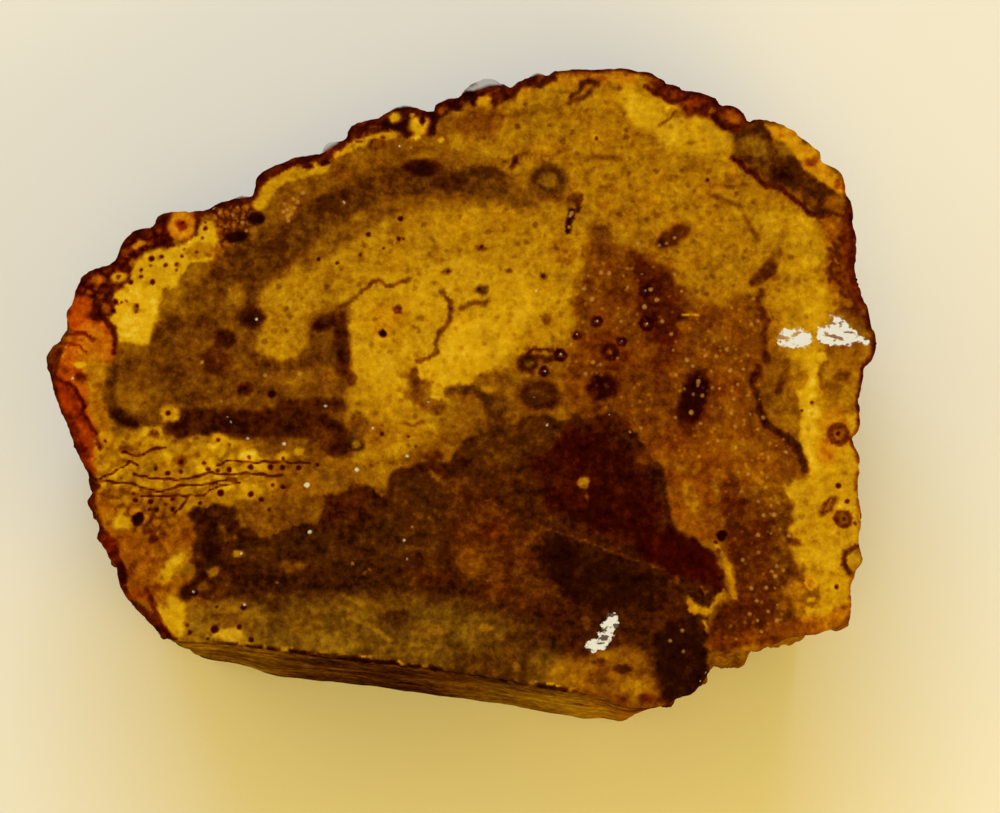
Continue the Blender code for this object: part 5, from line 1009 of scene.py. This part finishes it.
def foot_inset(x, y):
    """How far the foot stands in from the rim at this side."""
    angles, insets = zip(*FOOT_INSET)
    angle = math.degrees(math.atan2(y, x))
    for k in range(len(angles) - 1):
        if angles[k] <= angle <= angles[k + 1]:
            return insets[k] + (insets[k + 1] - insets[k]) * smooth_step(angles[k], angles[k + 1], angle)
    return insets[0]


def relief(x, y, drop):
    """Ribs, knobs and pits of the bark, as a push outwards."""
    rib = noise.noise(Vector((x / RIB_PITCH, y / RIB_PITCH, drop / RIB_LENGTH)))
    knob = noise.noise(Vector((x / KNOB_PITCH, y / KNOB_PITCH, drop / KNOB_PITCH + 7.0)))
    near_pit = noise.voronoi(Vector((x / PIT_PITCH, y / PIT_PITCH, drop / PIT_PITCH)))[0][0]
    pit = 1.0 - smooth_step(0.0, PIT_REACH, near_pit)
    return RIB_HEIGHT * rib + KNOB_HEIGHT * knob - PIT_DEPTH * pit


def bark_grain(x, y, drop):
    """Small knobs, fibres and furrows of the bark that the plain solid leaves out."""
    push = 0.0
    for pitch, length, shift, height in (FINE_KNOBS, PIMPLES, FIBRES):
        push += height * noise.noise(Vector((x / pitch, y / pitch, drop / length + shift)))
    pitch, length, shift, depth = FURROWS
    ripple = noise.noise(Vector((x / pitch, y / pitch, drop / length + shift)))
    return push - depth * (1.0 - smooth_step(0.0, FURROW_WIDTH, abs(ripple)))


def split_grain(x, drop):
    """Layers and chips of the split front."""
    layer = noise.noise(Vector((x / 9.0, drop / 2.2, 4.0)))
    chip = noise.noise(Vector((x / 2.0, drop / 1.3, 8.0)))
    below_lip = smooth_step(0.3, 1.0, drop) * (1.0 - smooth_step(1.6, UNDERCUT_FOOT, drop))
    crumble = 0.5 + noise.noise(Vector((x / 1.3, 0.0, 2.0)))
    crumble += 0.6 * noise.noise(Vector((x / 0.6, 0.0, 5.0)))
    return LAYER_HEIGHT * layer + CHIP_HEIGHT * chip - UNDERCUT * below_lip * max(crumble, 0.0)


def rim_lumps(x, y, drop):
    """How far the lumps below the rim push this place out."""
    push = 0.0
    for (px, py), out, down, width in RIM_LUMPS:
        away = math.hypot(x - px, y - py) / width
        below = (drop - down) / (1.2 * down)
        push += out * math.exp(-away * away - below * below) * smooth_step(0.0, 0.6 * down, drop)
    return push


def side_push(x, y, drop, bark):
    """How far the side stands out from the rim at this depth."""
    large = soft_limit(relief(x, y, drop) * smooth_step(0.0, RELIEF_DEPTH, drop), BULGE_SLOPE * drop)
    large += bark_grain(x, y, drop) * smooth_step(0.0, GRAIN_DEPTH, drop)
    roughness = noise.noise(Vector((x / 6.0, drop / 3.0, 1.0))) * smooth_step(0.0, SPLIT_DEPTH, drop)
    split = SPLIT_ROUGHNESS * roughness + split_grain(x, drop)
    push = bark * large + (1.0 - bark) * split + rim_lumps(x, y, drop)
    rounding = smooth_step(THICKNESS - FOOT_ROUND_HEIGHT, THICKNESS, drop)
    return push - foot_inset(x, y) * drop / THICKNESS - FOOT_ROUND * rounding * (0.3 + 0.7 * bark)


def level_drops():
    """Depths of the side's rings below the face, closer together near the rim."""
    share = np.linspace(0.0, 1.0, LEVELS + 1)[1:]
    drops = THICKNESS * ((1.0 - LEVEL_CROWDING) * share + LEVEL_CROWDING * share ** 2)
    return np.concatenate([[FIRST_LEVEL], drops])


def stone_rings():
    """Outline of the stone at each depth, with the bark's share of each station."""
    rim, pitch = spaced(through(BARK_RIM + SPLIT_RIM, CURVE_STEPS), STATIONS)
    plain = averaged(rim, round(LOBE_REACH / pitch))
    ways = outward(rim, round(NORMAL_REACH / pitch))
    run = [BARK_RIM[-1]] + SPLIT_RIM + [BARK_RIM[0]]
    rx, ry = rim.T
    bark = ramp(0.0, SPLIT_BLEND, chain_distance(rx, ry, run))
    wear = RIM_WEAR * noise2(rx / 1.4, ry / 1.4, 21) + FINE_RIM_WEAR * noise2(rx / 0.5, ry / 0.5, 22)
    crumbs = FRONT_CRUMBS * np.maximum(noise2(rx / 1.1, ry / 1.1, 23), 0.0)
    edge = bark * wear - (1.0 - bark) * crumbs
    rings = [(0.0, rim + ways * (edge - EDGE_BREAK)[:, None])]
    for drop in level_drops():
        fade = LOBE_FADE * smooth_step(0.0, LOBE_FADE_DEPTH, drop) * bark[:, None]
        course = rim + (plain - rim) * fade
        push = np.array([side_push(x, y, drop, b) for (x, y), b in zip(rim, bark)])
        held = 1.0 - smooth_step(0.0, WEAR_DEPTH, drop)
        rings.append((drop, course + ways * (push + edge * held)[:, None]))
    return rings, rim, bark


# Hexagonal grid: row distance as a share of the pitch, and how far it keeps from the outline
ROW_SHARE = 0.866
MARGIN_SHARE = 0.62


def grid_inside(outline, pitch, margin):
    """Places of a hexagonal grid inside an outline, at least the margin away from it."""
    low, high = outline.min(0), outline.max(0)
    rows = np.arange(low[1], high[1], pitch * ROW_SHARE)
    cols = np.arange(low[0], high[0], pitch)
    gx = cols[None, :] + 0.5 * pitch * (np.arange(len(rows)) % 2)[:, None]
    gy = np.broadcast_to(rows[:, None], gx.shape)
    gx, gy = gx.ravel(), gy.ravel()
    coarse = [tuple(p) for p in outline[::3]]
    keep = patch_distance(gx, gy, coarse) < -margin
    return np.stack([gx[keep], gy[keep]], 1)


def filled(outline, pitch):
    """Triangles over an outline: its own points first, then a grid inside it."""
    inner = grid_inside(outline, pitch, MARGIN_SHARE * pitch)
    places = [Vector(p) for p in np.vstack([outline, inner])]
    border = [tuple(range(len(outline)))]
    verts, _, faces, *_ = geometry.delaunay_2d_cdt(places, [], border, 1, 1e-7)
    assert len(verts) == len(places)
    return inner, faces


def face_height(dots, cracks, x, y):
    """Small hollows in the sawn face: pores, open cracks and a little waviness."""
    pore = PORE_DEPTH * (1.0 - ramp(-0.25, 0.15, dots))
    crack = CRACK_DEPTH * (1.0 - ramp(0.0, 0.35, cracks))
    wave = WAVE_DEPTH * (1.0 + noise2(x / 7.0, y / 7.0, 31))
    fine_wave = FINE_WAVE_DEPTH * (1.0 + noise2(x / 1.2, y / 1.2, 32))
    return -pore - crack - wave - fine_wave


def stone_places(rings, rim, bark, face_inner, foot_inner):
    """Places and painted values of every point: the face, each ring of the side, then the foot."""
    face_places = np.vstack([rings[0][1], face_inner])
    face_x, face_y = face_places.T
    painted = paint(face_x, face_y)
    dots, cracks = (painted[:, FIELDS.index(name)] for name in ("dots", "cracks"))
    heights = THICKNESS + face_height(dots, cracks, face_x, face_y)
    heights[:STATIONS] = THICKNESS - RIM_DROP
    coords = [np.column_stack([face_places, heights])]
    values = [np.column_stack([painted, np.ones(len(painted)), np.zeros(len(painted))])]
    for drop, ring in rings[1:]:
        coords.append(np.column_stack([ring, np.full(STATIONS, THICKNESS - drop)]))
        values.append(side_paint(ring, rim, bark, drop, painted[:STATIONS]))
    coords.append(np.column_stack([foot_inner, np.zeros(len(foot_inner))]))
    values.append(foot_paint(foot_inner))
    shift = np.array([BOX_MIDDLE[0], BOX_MIDDLE[1], 0.0])
    return (np.vstack(coords) - shift) * MM, np.vstack(values)


def stone_faces(ring_count, face_tris, first_ring, foot_tris, foot_inner_count):
    """Faces over the same points: the sawn face, the bands between rings, and the foot turned over."""
    starts = [0] + [first_ring + k * STATIONS for k in range(ring_count - 1)]
    faces = [tuple(f) for f in face_tris]
    for upper, lower in zip(starts, starts[1:]):
        for i in range(STATIONS):
            j = (i + 1) % STATIONS
            faces.append((upper + i, upper + j, lower + j, lower + i))
    foot_points = [starts[-1] + i for i in range(STATIONS + foot_inner_count)]
    faces += [tuple(foot_points[i] for i in reversed(f)) for f in foot_tris]
    return faces


def build_stone():
    """The closed mesh of the stone, with the painted values of every point."""
    rings, rim, bark = stone_rings()
    face_inner, face_tris = filled(rings[0][1], FACE_PITCH)
    foot_inner, foot_tris = filled(rings[-1][1], FOOT_PITCH)
    coords, values = stone_places(rings, rim, bark, face_inner, foot_inner)
    first_ring = STATIONS + len(face_inner)
    faces = stone_faces(len(rings), face_tris, first_ring, foot_tris, len(foot_inner))

    mesh = bpy.data.meshes.new("stone_skin")
    mesh.from_pydata(coords.tolist(), [], faces)
    bm = bmesh.new()
    bm.from_mesh(mesh)
    bmesh.ops.recalc_face_normals(bm, faces=bm.faces)
    bmesh.ops.triangulate(bm, faces=[f for f in bm.faces if len(f.verts) > 3])
    bm.to_mesh(mesh)
    bm.free()
    for k, name in enumerate(FIELDS):
        attribute = mesh.attributes.new(name, "FLOAT", "POINT")
        attribute.data.foreach_set("value", values[:, k].astype(np.float32))
    mesh.shade_smooth()
    mesh.set_sharp_from_angle(angle=math.radians(SHARP_EDGE))
    return mesh


# Painting of the sides and the foot, by rules

# the glints field holds painted highlights, and a few of the flecks are painted glints
FIELDS = ("tone", "red", "dots", "cracks", "marks", "flecks_and_glints", "painted_glints", "flecked", "sawn", "grey")


def cloud(x, y, z, scale, seed):
    """Smooth noise from -1 to 1 in space, drawn from three level noises."""
    return (noise2(x / scale + 0.7 * z / scale, y / scale, seed)
            + noise2(y / scale + 9.0, z / scale - 0.5 * x / scale, seed + 0.5)) * 0.7


# Tone and redness along the split front: place along x, tone, redness
SPLIT_TONES = [
    (-46, 0.50, -0.5), (-30, 0.42, -0.7), (-22, 0.28, -0.6), (-8, 0.22, -0.4), (6, 0.32, -0.8),
    (16, 0.46, -0.7), (21, 0.44, -0.4), (27, 0.36, 0.1), (33, 0.16, 0.2), (37, 0.40, -0.4),
    (41, 0.62, -0.5), (50, 0.60, -0.3), (57, 0.56, 0.0),
]

# Middle tone and redness of the bark, of the golden notch at the front right, and tone of the foot
BARK_TONE = 0.27
BARK_RED = 0.45
NOTCH_TONE = 0.56
NOTCH_RED = -0.3
FOOT_TONE = 0.45

# Depth over which the rim's colours turn into the side's
TURN_DEPTH = 2.2
LIP_TURN_DEPTH = 0.4

# Lumps behind the back rim that wear a grey crust: how deep its middle is and how far it reaches
CRUSTED_LUMPS = RIM_LUMPS[3:8]
CRUST_MIDDLE = 1.5
CRUST_REACH = 3.2


def plain_values(tone, red, sawn, grey):
    """Values of places away from the face's own small marks."""
    far = np.full(len(tone), FAR)
    return np.column_stack([np.clip(tone, 0, 1), np.clip(red, -1, 1), far, far, far, far, far, 0 * far,
                            np.broadcast_to(sawn, tone.shape), grey])


def bark_paint(x, y, z):
    """Tone and redness of the bark at depth z."""
    along_fibre = noise2(x / 2.0 + 0.2 * z, y / 2.0 - 0.1 * z, 41)
    tone = BARK_TONE + 0.22 * cloud(x, y, z, 9.0, 42) + 0.10 * cloud(x, y, z, 3.0, 43) + 0.07 * along_fibre
    return tone, BARK_RED + 0.5 * cloud(x, y, z, 13.0, 44)


def split_paint(x, y, z):
    """Tone and redness of the split front at depth z, with painted shade under the lip and towards the foot.
    """
    places, tones, reds = zip(*SPLIT_TONES)
    tone = np.interp(x, places, tones)
    tone = tone + 0.14 * noise2(x / 14.0, z / 2.4, 45) + 0.10 * noise2(x / 6.0, z / 0.8, 46)
    # the last term is painted contact shade, darker towards the foot
    tone = tone + 0.16 * ramp(6.0, 20.0, z) * ramp(-8.0, 4.0, x) - 0.10 * ramp(36.0, 45.0, z)
    # painted shade under the overhanging lip
    lip_depth = z + 0.9 * noise2(x / 0.9, y / 6.0, 68)
    shade_under_lip = ramp(-36.0, -9.0, x) * (1 - ramp(15.0, 20.0, x)) * (1 - ramp(1.6, 3.2, lip_depth))
    return tone - 0.30 * shade_under_lip, np.interp(x, places, reds) + 0.22 * noise2(x / 6.0, z / 3.0, 47)


def grey_share(x, y, z, rim, bark):
    """Grey crust on the lumps behind the back rim, and grey flakes lower on the back's bark."""
    grey = np.zeros(len(x))
    broken = 0.7 * cloud(x, y, z, 1.6, 49)
    below_rim = ramp(0.2, 0.6, z)
    for (px, py), _, _, width in CRUSTED_LUMPS:
        across = np.hypot(rim[:, 0] - px, rim[:, 1] - py) / width
        reach = np.hypot(across, (z - CRUST_MIDDLE) / CRUST_REACH)
        grey = np.maximum(grey, (1.0 - ramp(0.6, 1.3, reach - broken)) * below_rim)
    flakes = cloud(x, y, z, 6.0, 48) + 0.6 * cloud(x, y, z, 2.0, 50) + 0.3 * cloud(x, y, z, 0.9, 54)
    return np.maximum(grey, 0.5 * bark * ramp(0.5, 0.8, flakes) * ramp(6.0, 12.0, z) * ramp(-5, 5, y))


def side_paint(ring, rim, bark, drop, rim_values):
    """Values of one ring of the side, carried over from the rim's own near the top."""
    x, y = ring.T
    z = np.full(len(x), drop)
    bark_tone, bark_red = bark_paint(x, y, z)
    split_tone, split_red = split_paint(x, y, z)
    side_tone = bark_tone * bark + split_tone * (1.0 - bark)
    side_red = bark_red * bark + split_red * (1.0 - bark)
    rim_tone, rim_red = rim_values[:, 0], rim_values[:, 1]
    turn = smooth_step(0.0, TURN_DEPTH, drop)
    at_lip = smooth_step(0.0, LIP_TURN_DEPTH, drop)
    # near the lip this also carries the face's painted shadow line onto the top of the split front
    carried = turn * (0.35 + 0.65 * bark) + (1.0 - bark) * 0.65 * at_lip
    tone = rim_tone + (side_tone - rim_tone) * carried
    red = rim_red + (side_red - rim_red) * carried
    notch = 0.85 * ramp(35.5, 37.0, x) * (1.0 - ramp(-38.0, -36.0, y)) * turn
    tone = tone + (NOTCH_TONE - tone) * notch
    red = red + (NOTCH_RED - red) * notch
    return plain_values(tone, red, 0.0, grey_share(x, y, z, rim, bark))


def foot_paint(places):
    """Values of the sawn foot: cloudy brown, a little red here and there."""
    x, y = places.T
    tone = FOOT_TONE + 0.28 * noise2(x / 13.0, y / 11.0, 51) + 0.12 * noise2(x / 4.0, y / 4.0, 52)
    red = 0.2 * noise2(x / 17.0, y / 17.0, 53)
    return plain_values(tone, red, 1.0, 0 * x)


# Material of the stone

# Light that falls on the stone's face, so that its colours can be given as they look under it
FACE_LIGHT = (1.175, 1.045, 0.723)

# Colours of the small marks, as they look on screen; the glints, and a few of the flecks, are painted
# highlights
FLECK_AND_GLINT_COLOUR = (196, 132, 46)
PAINTED_GLINT_COLOUR = (232, 214, 160)
CRUST_COLOUR = (196, 184, 146)
CHALK_COLOUR = (232, 224, 196)

# Cloudy mottling of the stone: size in mm, detail, strength
MOTTLING = [(2.8, 2.0, 0.19), (1.1, 3.0, 0.23), (7.0, 1.0, 0.09), (0.34, 2.0, 0.09)]

# Roughness of the bark, the sawn face and the chalky marks, and height of the fine relief in metres
BARK_ROUGHNESS = 0.62
SAWN_ROUGHNESS = 0.34
CHALK_ROUGHNESS = 0.9
RELIEF_HEIGHT = 0.0003
RELIEF_STRENGTH = 0.35


def skin(rgb):
    """The skin colour that looks like rgb, given as 0 to 255 on screen, in the light on the face."""
    parts = [c / 255.0 for c in rgb]
    scene = [c / 12.92 if c <= 0.04045 else ((c + 0.055) / 1.055) ** 2.4 for c in parts]
    return tuple(c / light for c, light in zip(scene, FACE_LIGHT)) + (1.0,)


class Net:
    """Short names for building a shader's nodes."""

    def __init__(self, name):
        self.material = bpy.data.materials.new(name)
        self.material.use_nodes = True
        self.tree = self.material.node_tree
        self.shader = self.tree.nodes["Principled BSDF"]
        self.place = self.add("ShaderNodeTexCoord").outputs["Object"]

    def add(self, kind, **settings):
        node = self.tree.nodes.new(kind)
        for key, value in settings.items():
            setattr(node, key, value)
        return node

    def feed(self, socket, value):
        """Links a socket to the input, or sets a plain value on it."""
        if isinstance(value, bpy.types.NodeSocket):
            self.tree.links.new(value, socket)
        else:
            socket.default_value = value

    def math(self, operation, a, b=0.0, c=0.0, clamp=False):
        """One sum of values or sockets."""
        node = self.add("ShaderNodeMath", operation=operation, use_clamp=clamp)
        for socket, value in zip(node.inputs, (a, b, c)):
            self.feed(socket, value)
        return node.outputs[0]

    def steps(self, value, low, high, out_low=0.0, out_high=1.0):
        """Smooth change from one output to the other while the value goes from low to high."""
        node = self.add("ShaderNodeMapRange", interpolation_type="SMOOTHSTEP")
        for name, v in (("Value", value), ("From Min", low), ("From Max", high),
                        ("To Min", out_low), ("To Max", out_high)):
            self.feed(node.inputs[name], v)
        return node.outputs["Result"]

    def field(self, name):
        """A painted value of the mesh."""
        return self.add("ShaderNodeAttribute", attribute_name=name).outputs["Fac"]

    def noise(self, size_mm, detail=2.0, stretch=(1.0, 1.0, 1.0)):
        """Noise from -1 to 1 whose features are about this size."""
        mapping = self.add("ShaderNodeMapping")
        mapping.inputs["Scale"].default_value = stretch
        self.feed(mapping.inputs["Vector"], self.place)
        node = self.add("ShaderNodeTexNoise")
        self.feed(node.inputs["Vector"], mapping.outputs["Vector"])
        node.inputs["Scale"].default_value = 1000.0 / size_mm
        node.inputs["Detail"].default_value = detail
        return self.math("MULTIPLY_ADD", node.outputs["Fac"], 2.0, -1.0)

    def cells(self, pitch_mm, jitter=1.0):
        """Distance to the nearest of scattered points, in cell widths."""
        node = self.add("ShaderNodeTexVoronoi", feature="F1")
        self.feed(node.inputs["Vector"], self.place)
        node.inputs["Scale"].default_value = 1000.0 / pitch_mm
        node.inputs["Randomness"].default_value = jitter
        return node.outputs["Distance"]

    def ramp(self, value, stops):
        """Colour by value, between stops given as they look on screen."""
        node = self.add("ShaderNodeValToRGB")
        self.feed(node.inputs["Fac"], value)
        elements = node.color_ramp.elements
        for k, (place, rgb) in enumerate(stops):
            stop = elements[k] if k < 2 else elements.new(place)
            stop.position = place
            stop.color = skin(rgb)
        return node.outputs["Color"]

    def mix(self, share, a, b):
        """Colour a turned into colour b by the share."""
        node = self.add("ShaderNodeMix", data_type="RGBA")
        self.feed(node.inputs["Factor"], share)
        self.feed(node.inputs["A"], a)
        self.feed(node.inputs["B"], b)
        return node.outputs["Result"]


def mottled(net, tone):
    """The tone with cloudy mottling, calmer where it is very pale or very dark."""
    mottle = 0.0
    for size, detail, strength in MOTTLING:
        mottle = net.math("MULTIPLY_ADD", net.noise(size, detail), strength, mottle)
    in_pale = net.steps(tone, 0.72, 0.92, 1.0, 0.65)
    in_dark = net.steps(tone, 0.02, 0.2, 0.5, 1.0)
    return net.math("MULTIPLY_ADD", mottle, net.math("MULTIPLY", in_pale, in_dark), tone)


def blots(net, tone):
    """Small dark blots of the gold, fewer where it is palest."""
    ragged = net.math("MULTIPLY_ADD", net.noise(1.0), 0.28, net.cells(2.1))
    round_ones = net.steps(ragged, 0.05, 0.34, 1.0, 0.0)
    cloudy_ones = net.steps(net.noise(1.7), 0.22, 0.6, 0.0, 0.9)
    dark = net.math("MAXIMUM", round_ones, cloudy_ones)
    dark = net.math("MULTIPLY", dark, net.steps(tone, 0.46, 0.60, 0.0, 0.17))
    return net.math("MULTIPLY", dark, net.steps(tone, 0.80, 0.93, 1.0, 0.85))


def faint_flecks(net, flecked):
    """Faint pale flecks, strongest in the country where flecks lie thick."""
    pale = net.steps(net.cells(1.5), 0.08, 0.28, 0.16, 0.0)
    return net.math("MULTIPLY", pale, net.steps(flecked, 0.0, 1.0, 0.3, 1.0))


def ink_share(net, dots, cracks):
    """How dark the pores and cracks are, 0 to 1."""
    in_pores = net.steps(dots, -0.25, 0.18, 0.8, 0.0)
    in_cracks = net.steps(cracks, 0.05, 0.32, 0.65, 0.0)
    return net.math("MAXIMUM", in_pores, in_cracks)


def stone_colour(net, tone, red):
    """Gold, turned red where redness is above 0 and olive where it is below."""
    reddish = net.math("MAXIMUM", red, 0.0)
    greenish = net.math("MAXIMUM", net.math("MULTIPLY", red, -1.0), 0.0)
    warm = net.mix(reddish, net.ramp(tone, GOLD), net.ramp(tone, RED))
    return net.mix(greenish, warm, net.ramp(tone, OLIVE))


def chalk_share(net, marks):
    """The scuffed white marks, worn away at their edges and in holes."""
    worn = net.math("MULTIPLY_ADD", net.noise(0.8, 3.0), 1.0, marks)
    holes = net.steps(net.noise(1.0, 4.0, (0.5, 1.0, 1.0)), 0.06, 0.18, 1.0, 0.1)
    return net.math("MULTIPLY", net.steps(worn, 0.12, -0.18), holes)


def stone_material():
    """The stone's skin, from the painted values of its points."""
    net = Net("petrified_wood_stone")
    tone, red, dots, cracks, marks, flecks_and_glints, painted_glints, flecked, sawn, grey = (net.field(k) for k in FIELDS)

    ink = ink_share(net, dots, cracks)
    grained = net.math("ADD", mottled(net, tone), faint_flecks(net, flecked))
    grained = net.math("SUBTRACT", grained, blots(net, tone))
    grained = net.math("MULTIPLY", grained, net.math("SUBTRACT", 1.0, ink), clamp=True)
    tinted = net.math("MULTIPLY_ADD", net.noise(3.6, 3.0), 0.3, red)
    tinted = net.math("ADD", tinted, net.math("MULTIPLY", ink, net.math("SUBTRACT", 0.7, tinted)))

    chalk = chalk_share(net, marks)
    colour = stone_colour(net, grained, tinted)
    # pale flecks, a few of them painted highlights
    colour = net.mix(net.steps(flecks_and_glints, -0.20, 0.16, 0.7, 0.0), colour, skin(FLECK_AND_GLINT_COLOUR))
    # painted highlights: the glints turned nearly white
    colour = net.mix(net.steps(painted_glints, -0.16, 0.12, 0.85, 0.0), colour, skin(PAINTED_GLINT_COLOUR))
    colour = net.mix(net.math("MULTIPLY", grey, 0.8), colour, skin(CRUST_COLOUR))
    colour = net.mix(chalk, colour, skin(CHALK_COLOUR))
    net.feed(net.shader.inputs["Base Color"], colour)

    rough = net.steps(sawn, 0.0, 1.0, BARK_ROUGHNESS, SAWN_ROUGHNESS)
    rough = net.math("MULTIPLY_ADD", net.noise(4.0), 0.08, rough)
    rough = net.math("MAXIMUM", rough, net.math("MULTIPLY", chalk, CHALK_ROUGHNESS))
    net.feed(net.shader.inputs["Roughness"], rough)
    net.shader.inputs["Specular IOR Level"].default_value = 0.0
    bump = net.add("ShaderNodeBump")
    bump.inputs["Strength"].default_value = RELIEF_STRENGTH
    bump.inputs["Distance"].default_value = RELIEF_HEIGHT
    net.feed(bump.inputs["Height"], net.math("MULTIPLY_ADD", net.noise(0.45, 4.0), 0.5, net.noise(1.4, 3.0)))
    net.feed(net.shader.inputs["Normal"], bump.outputs["Normal"])
    return net.material


# Floor, lights and camera, in metres and watts
FLOOR_SIZE = 3.0
FLOOR_GAP = 0.0002
FLOOR_COLOUR = (0.82, 0.80, 0.75, 1.0)
ROOM_COLOUR = (1.0, 0.78, 0.26, 1.0)
ROOM_STRENGTH = 0.562

# Lights: name, place, what it is aimed at, size, power, colour
LIGHTS = [
    ("window", (-0.08, 0.82, 0.72), (0.0, 0.0, 0.0), 0.8, 10.2, (0.40, 0.60, 1.0)),
    ("warm_lamp", (-0.06, -0.36, 1.10), (0.0, 0.0, 0.0), 0.4, 1.87, (1.0, 0.76, 0.23)),
    ("left_card", (-0.42, 0.22, 0.50), (-0.10, 0.05, 0.0), 0.4, 0.52, (1.0, 0.86, 0.55)),
    ("warm_card", (0.22, -0.28, 0.28), (0.10, -0.12, 0.0), 0.25, 0.73, (1.0, 0.73, 0.16)),
]


def add_floor():
    """A plain sheet of pale paper."""
    bpy.ops.mesh.primitive_plane_add(size=FLOOR_SIZE, location=(0.0, 0.0, -FLOOR_GAP))
    floor = bpy.context.object
    floor.name = "paper_floor"
    material = bpy.data.materials.new("pale_paper")
    material.use_nodes = True
    shader = material.node_tree.nodes["Principled BSDF"]
    shader.inputs["Base Color"].default_value = FLOOR_COLOUR
    shader.inputs["Roughness"].default_value = 0.9
    shader.inputs["Specular IOR Level"].default_value = 0.1
    floor.data.materials.append(material)


def add_area_light(name, place, aim, size, power, rgb):
    """A square lamp turned towards its aim."""
    light = bpy.data.lights.new(name, "AREA")
    light.size = size
    light.energy = power
    light.color = rgb
    lamp = bpy.data.objects.new(name, light)
    lamp.location = place
    lamp.rotation_euler = (Vector(aim) - Vector(place)).to_track_quat("-Z", "Y").to_euler()
    bpy.context.scene.collection.objects.link(lamp)


def add_lights():
    """A warm room, a cool window behind, and three warm lights in front and at the sides."""
    world = bpy.data.worlds.new("warm_room")
    world.use_nodes = True
    background = world.node_tree.nodes["Background"]
    background.inputs["Color"].default_value = ROOM_COLOUR
    background.inputs["Strength"].default_value = ROOM_STRENGTH
    bpy.context.scene.world = world
    for light in LIGHTS:
        add_area_light(*light)


# The photograph's camera: tilt from the vertical, distance, focal length and place it looks at
CAMERA_TILT = 10.6
CAMERA_DISTANCE = 450.0
FOCAL_PIXELS = 3000.0
PHOTO_WIDTH = 1000
SENSOR_WIDTH = 36.0
LOOK_AT = (5.9, -3.8)


def add_camera():
    """The camera that took the photograph, as far as it can be told."""
    camera = bpy.data.cameras.new("camera")
    camera.sensor_width = SENSOR_WIDTH
    camera.lens = SENSOR_WIDTH * FOCAL_PIXELS / PHOTO_WIDTH
    camera.clip_start = 0.01
    tilt = math.radians(CAMERA_TILT)
    rig = bpy.data.objects.new("camera", camera)
    rig.location = (
        (LOOK_AT[0] - BOX_MIDDLE[0]) * MM,
        (LOOK_AT[1] - BOX_MIDDLE[1] - CAMERA_DISTANCE * math.sin(tilt)) * MM,
        (THICKNESS + CAMERA_DISTANCE * math.cos(tilt)) * MM,
    )
    rig.rotation_euler = (tilt, 0.0, 0.0)
    bpy.context.scene.collection.objects.link(rig)
    bpy.context.scene.camera = rig


# The scene

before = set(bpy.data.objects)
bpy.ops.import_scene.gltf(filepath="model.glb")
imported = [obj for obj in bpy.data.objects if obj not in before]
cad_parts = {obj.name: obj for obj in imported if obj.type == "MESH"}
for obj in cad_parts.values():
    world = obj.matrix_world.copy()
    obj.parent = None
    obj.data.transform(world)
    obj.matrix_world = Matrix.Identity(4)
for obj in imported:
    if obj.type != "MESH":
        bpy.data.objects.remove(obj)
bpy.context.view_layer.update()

stone = bpy.data.objects.new("stone", build_stone())
stone.data.materials.append(stone_material())
bpy.context.scene.collection.objects.link(stone)
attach(stone, "root")
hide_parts(NODE)

add_floor()
add_lights()
add_camera()
bpy.context.scene.view_settings.view_transform = "Standard"

bpy.context.view_layer.update()
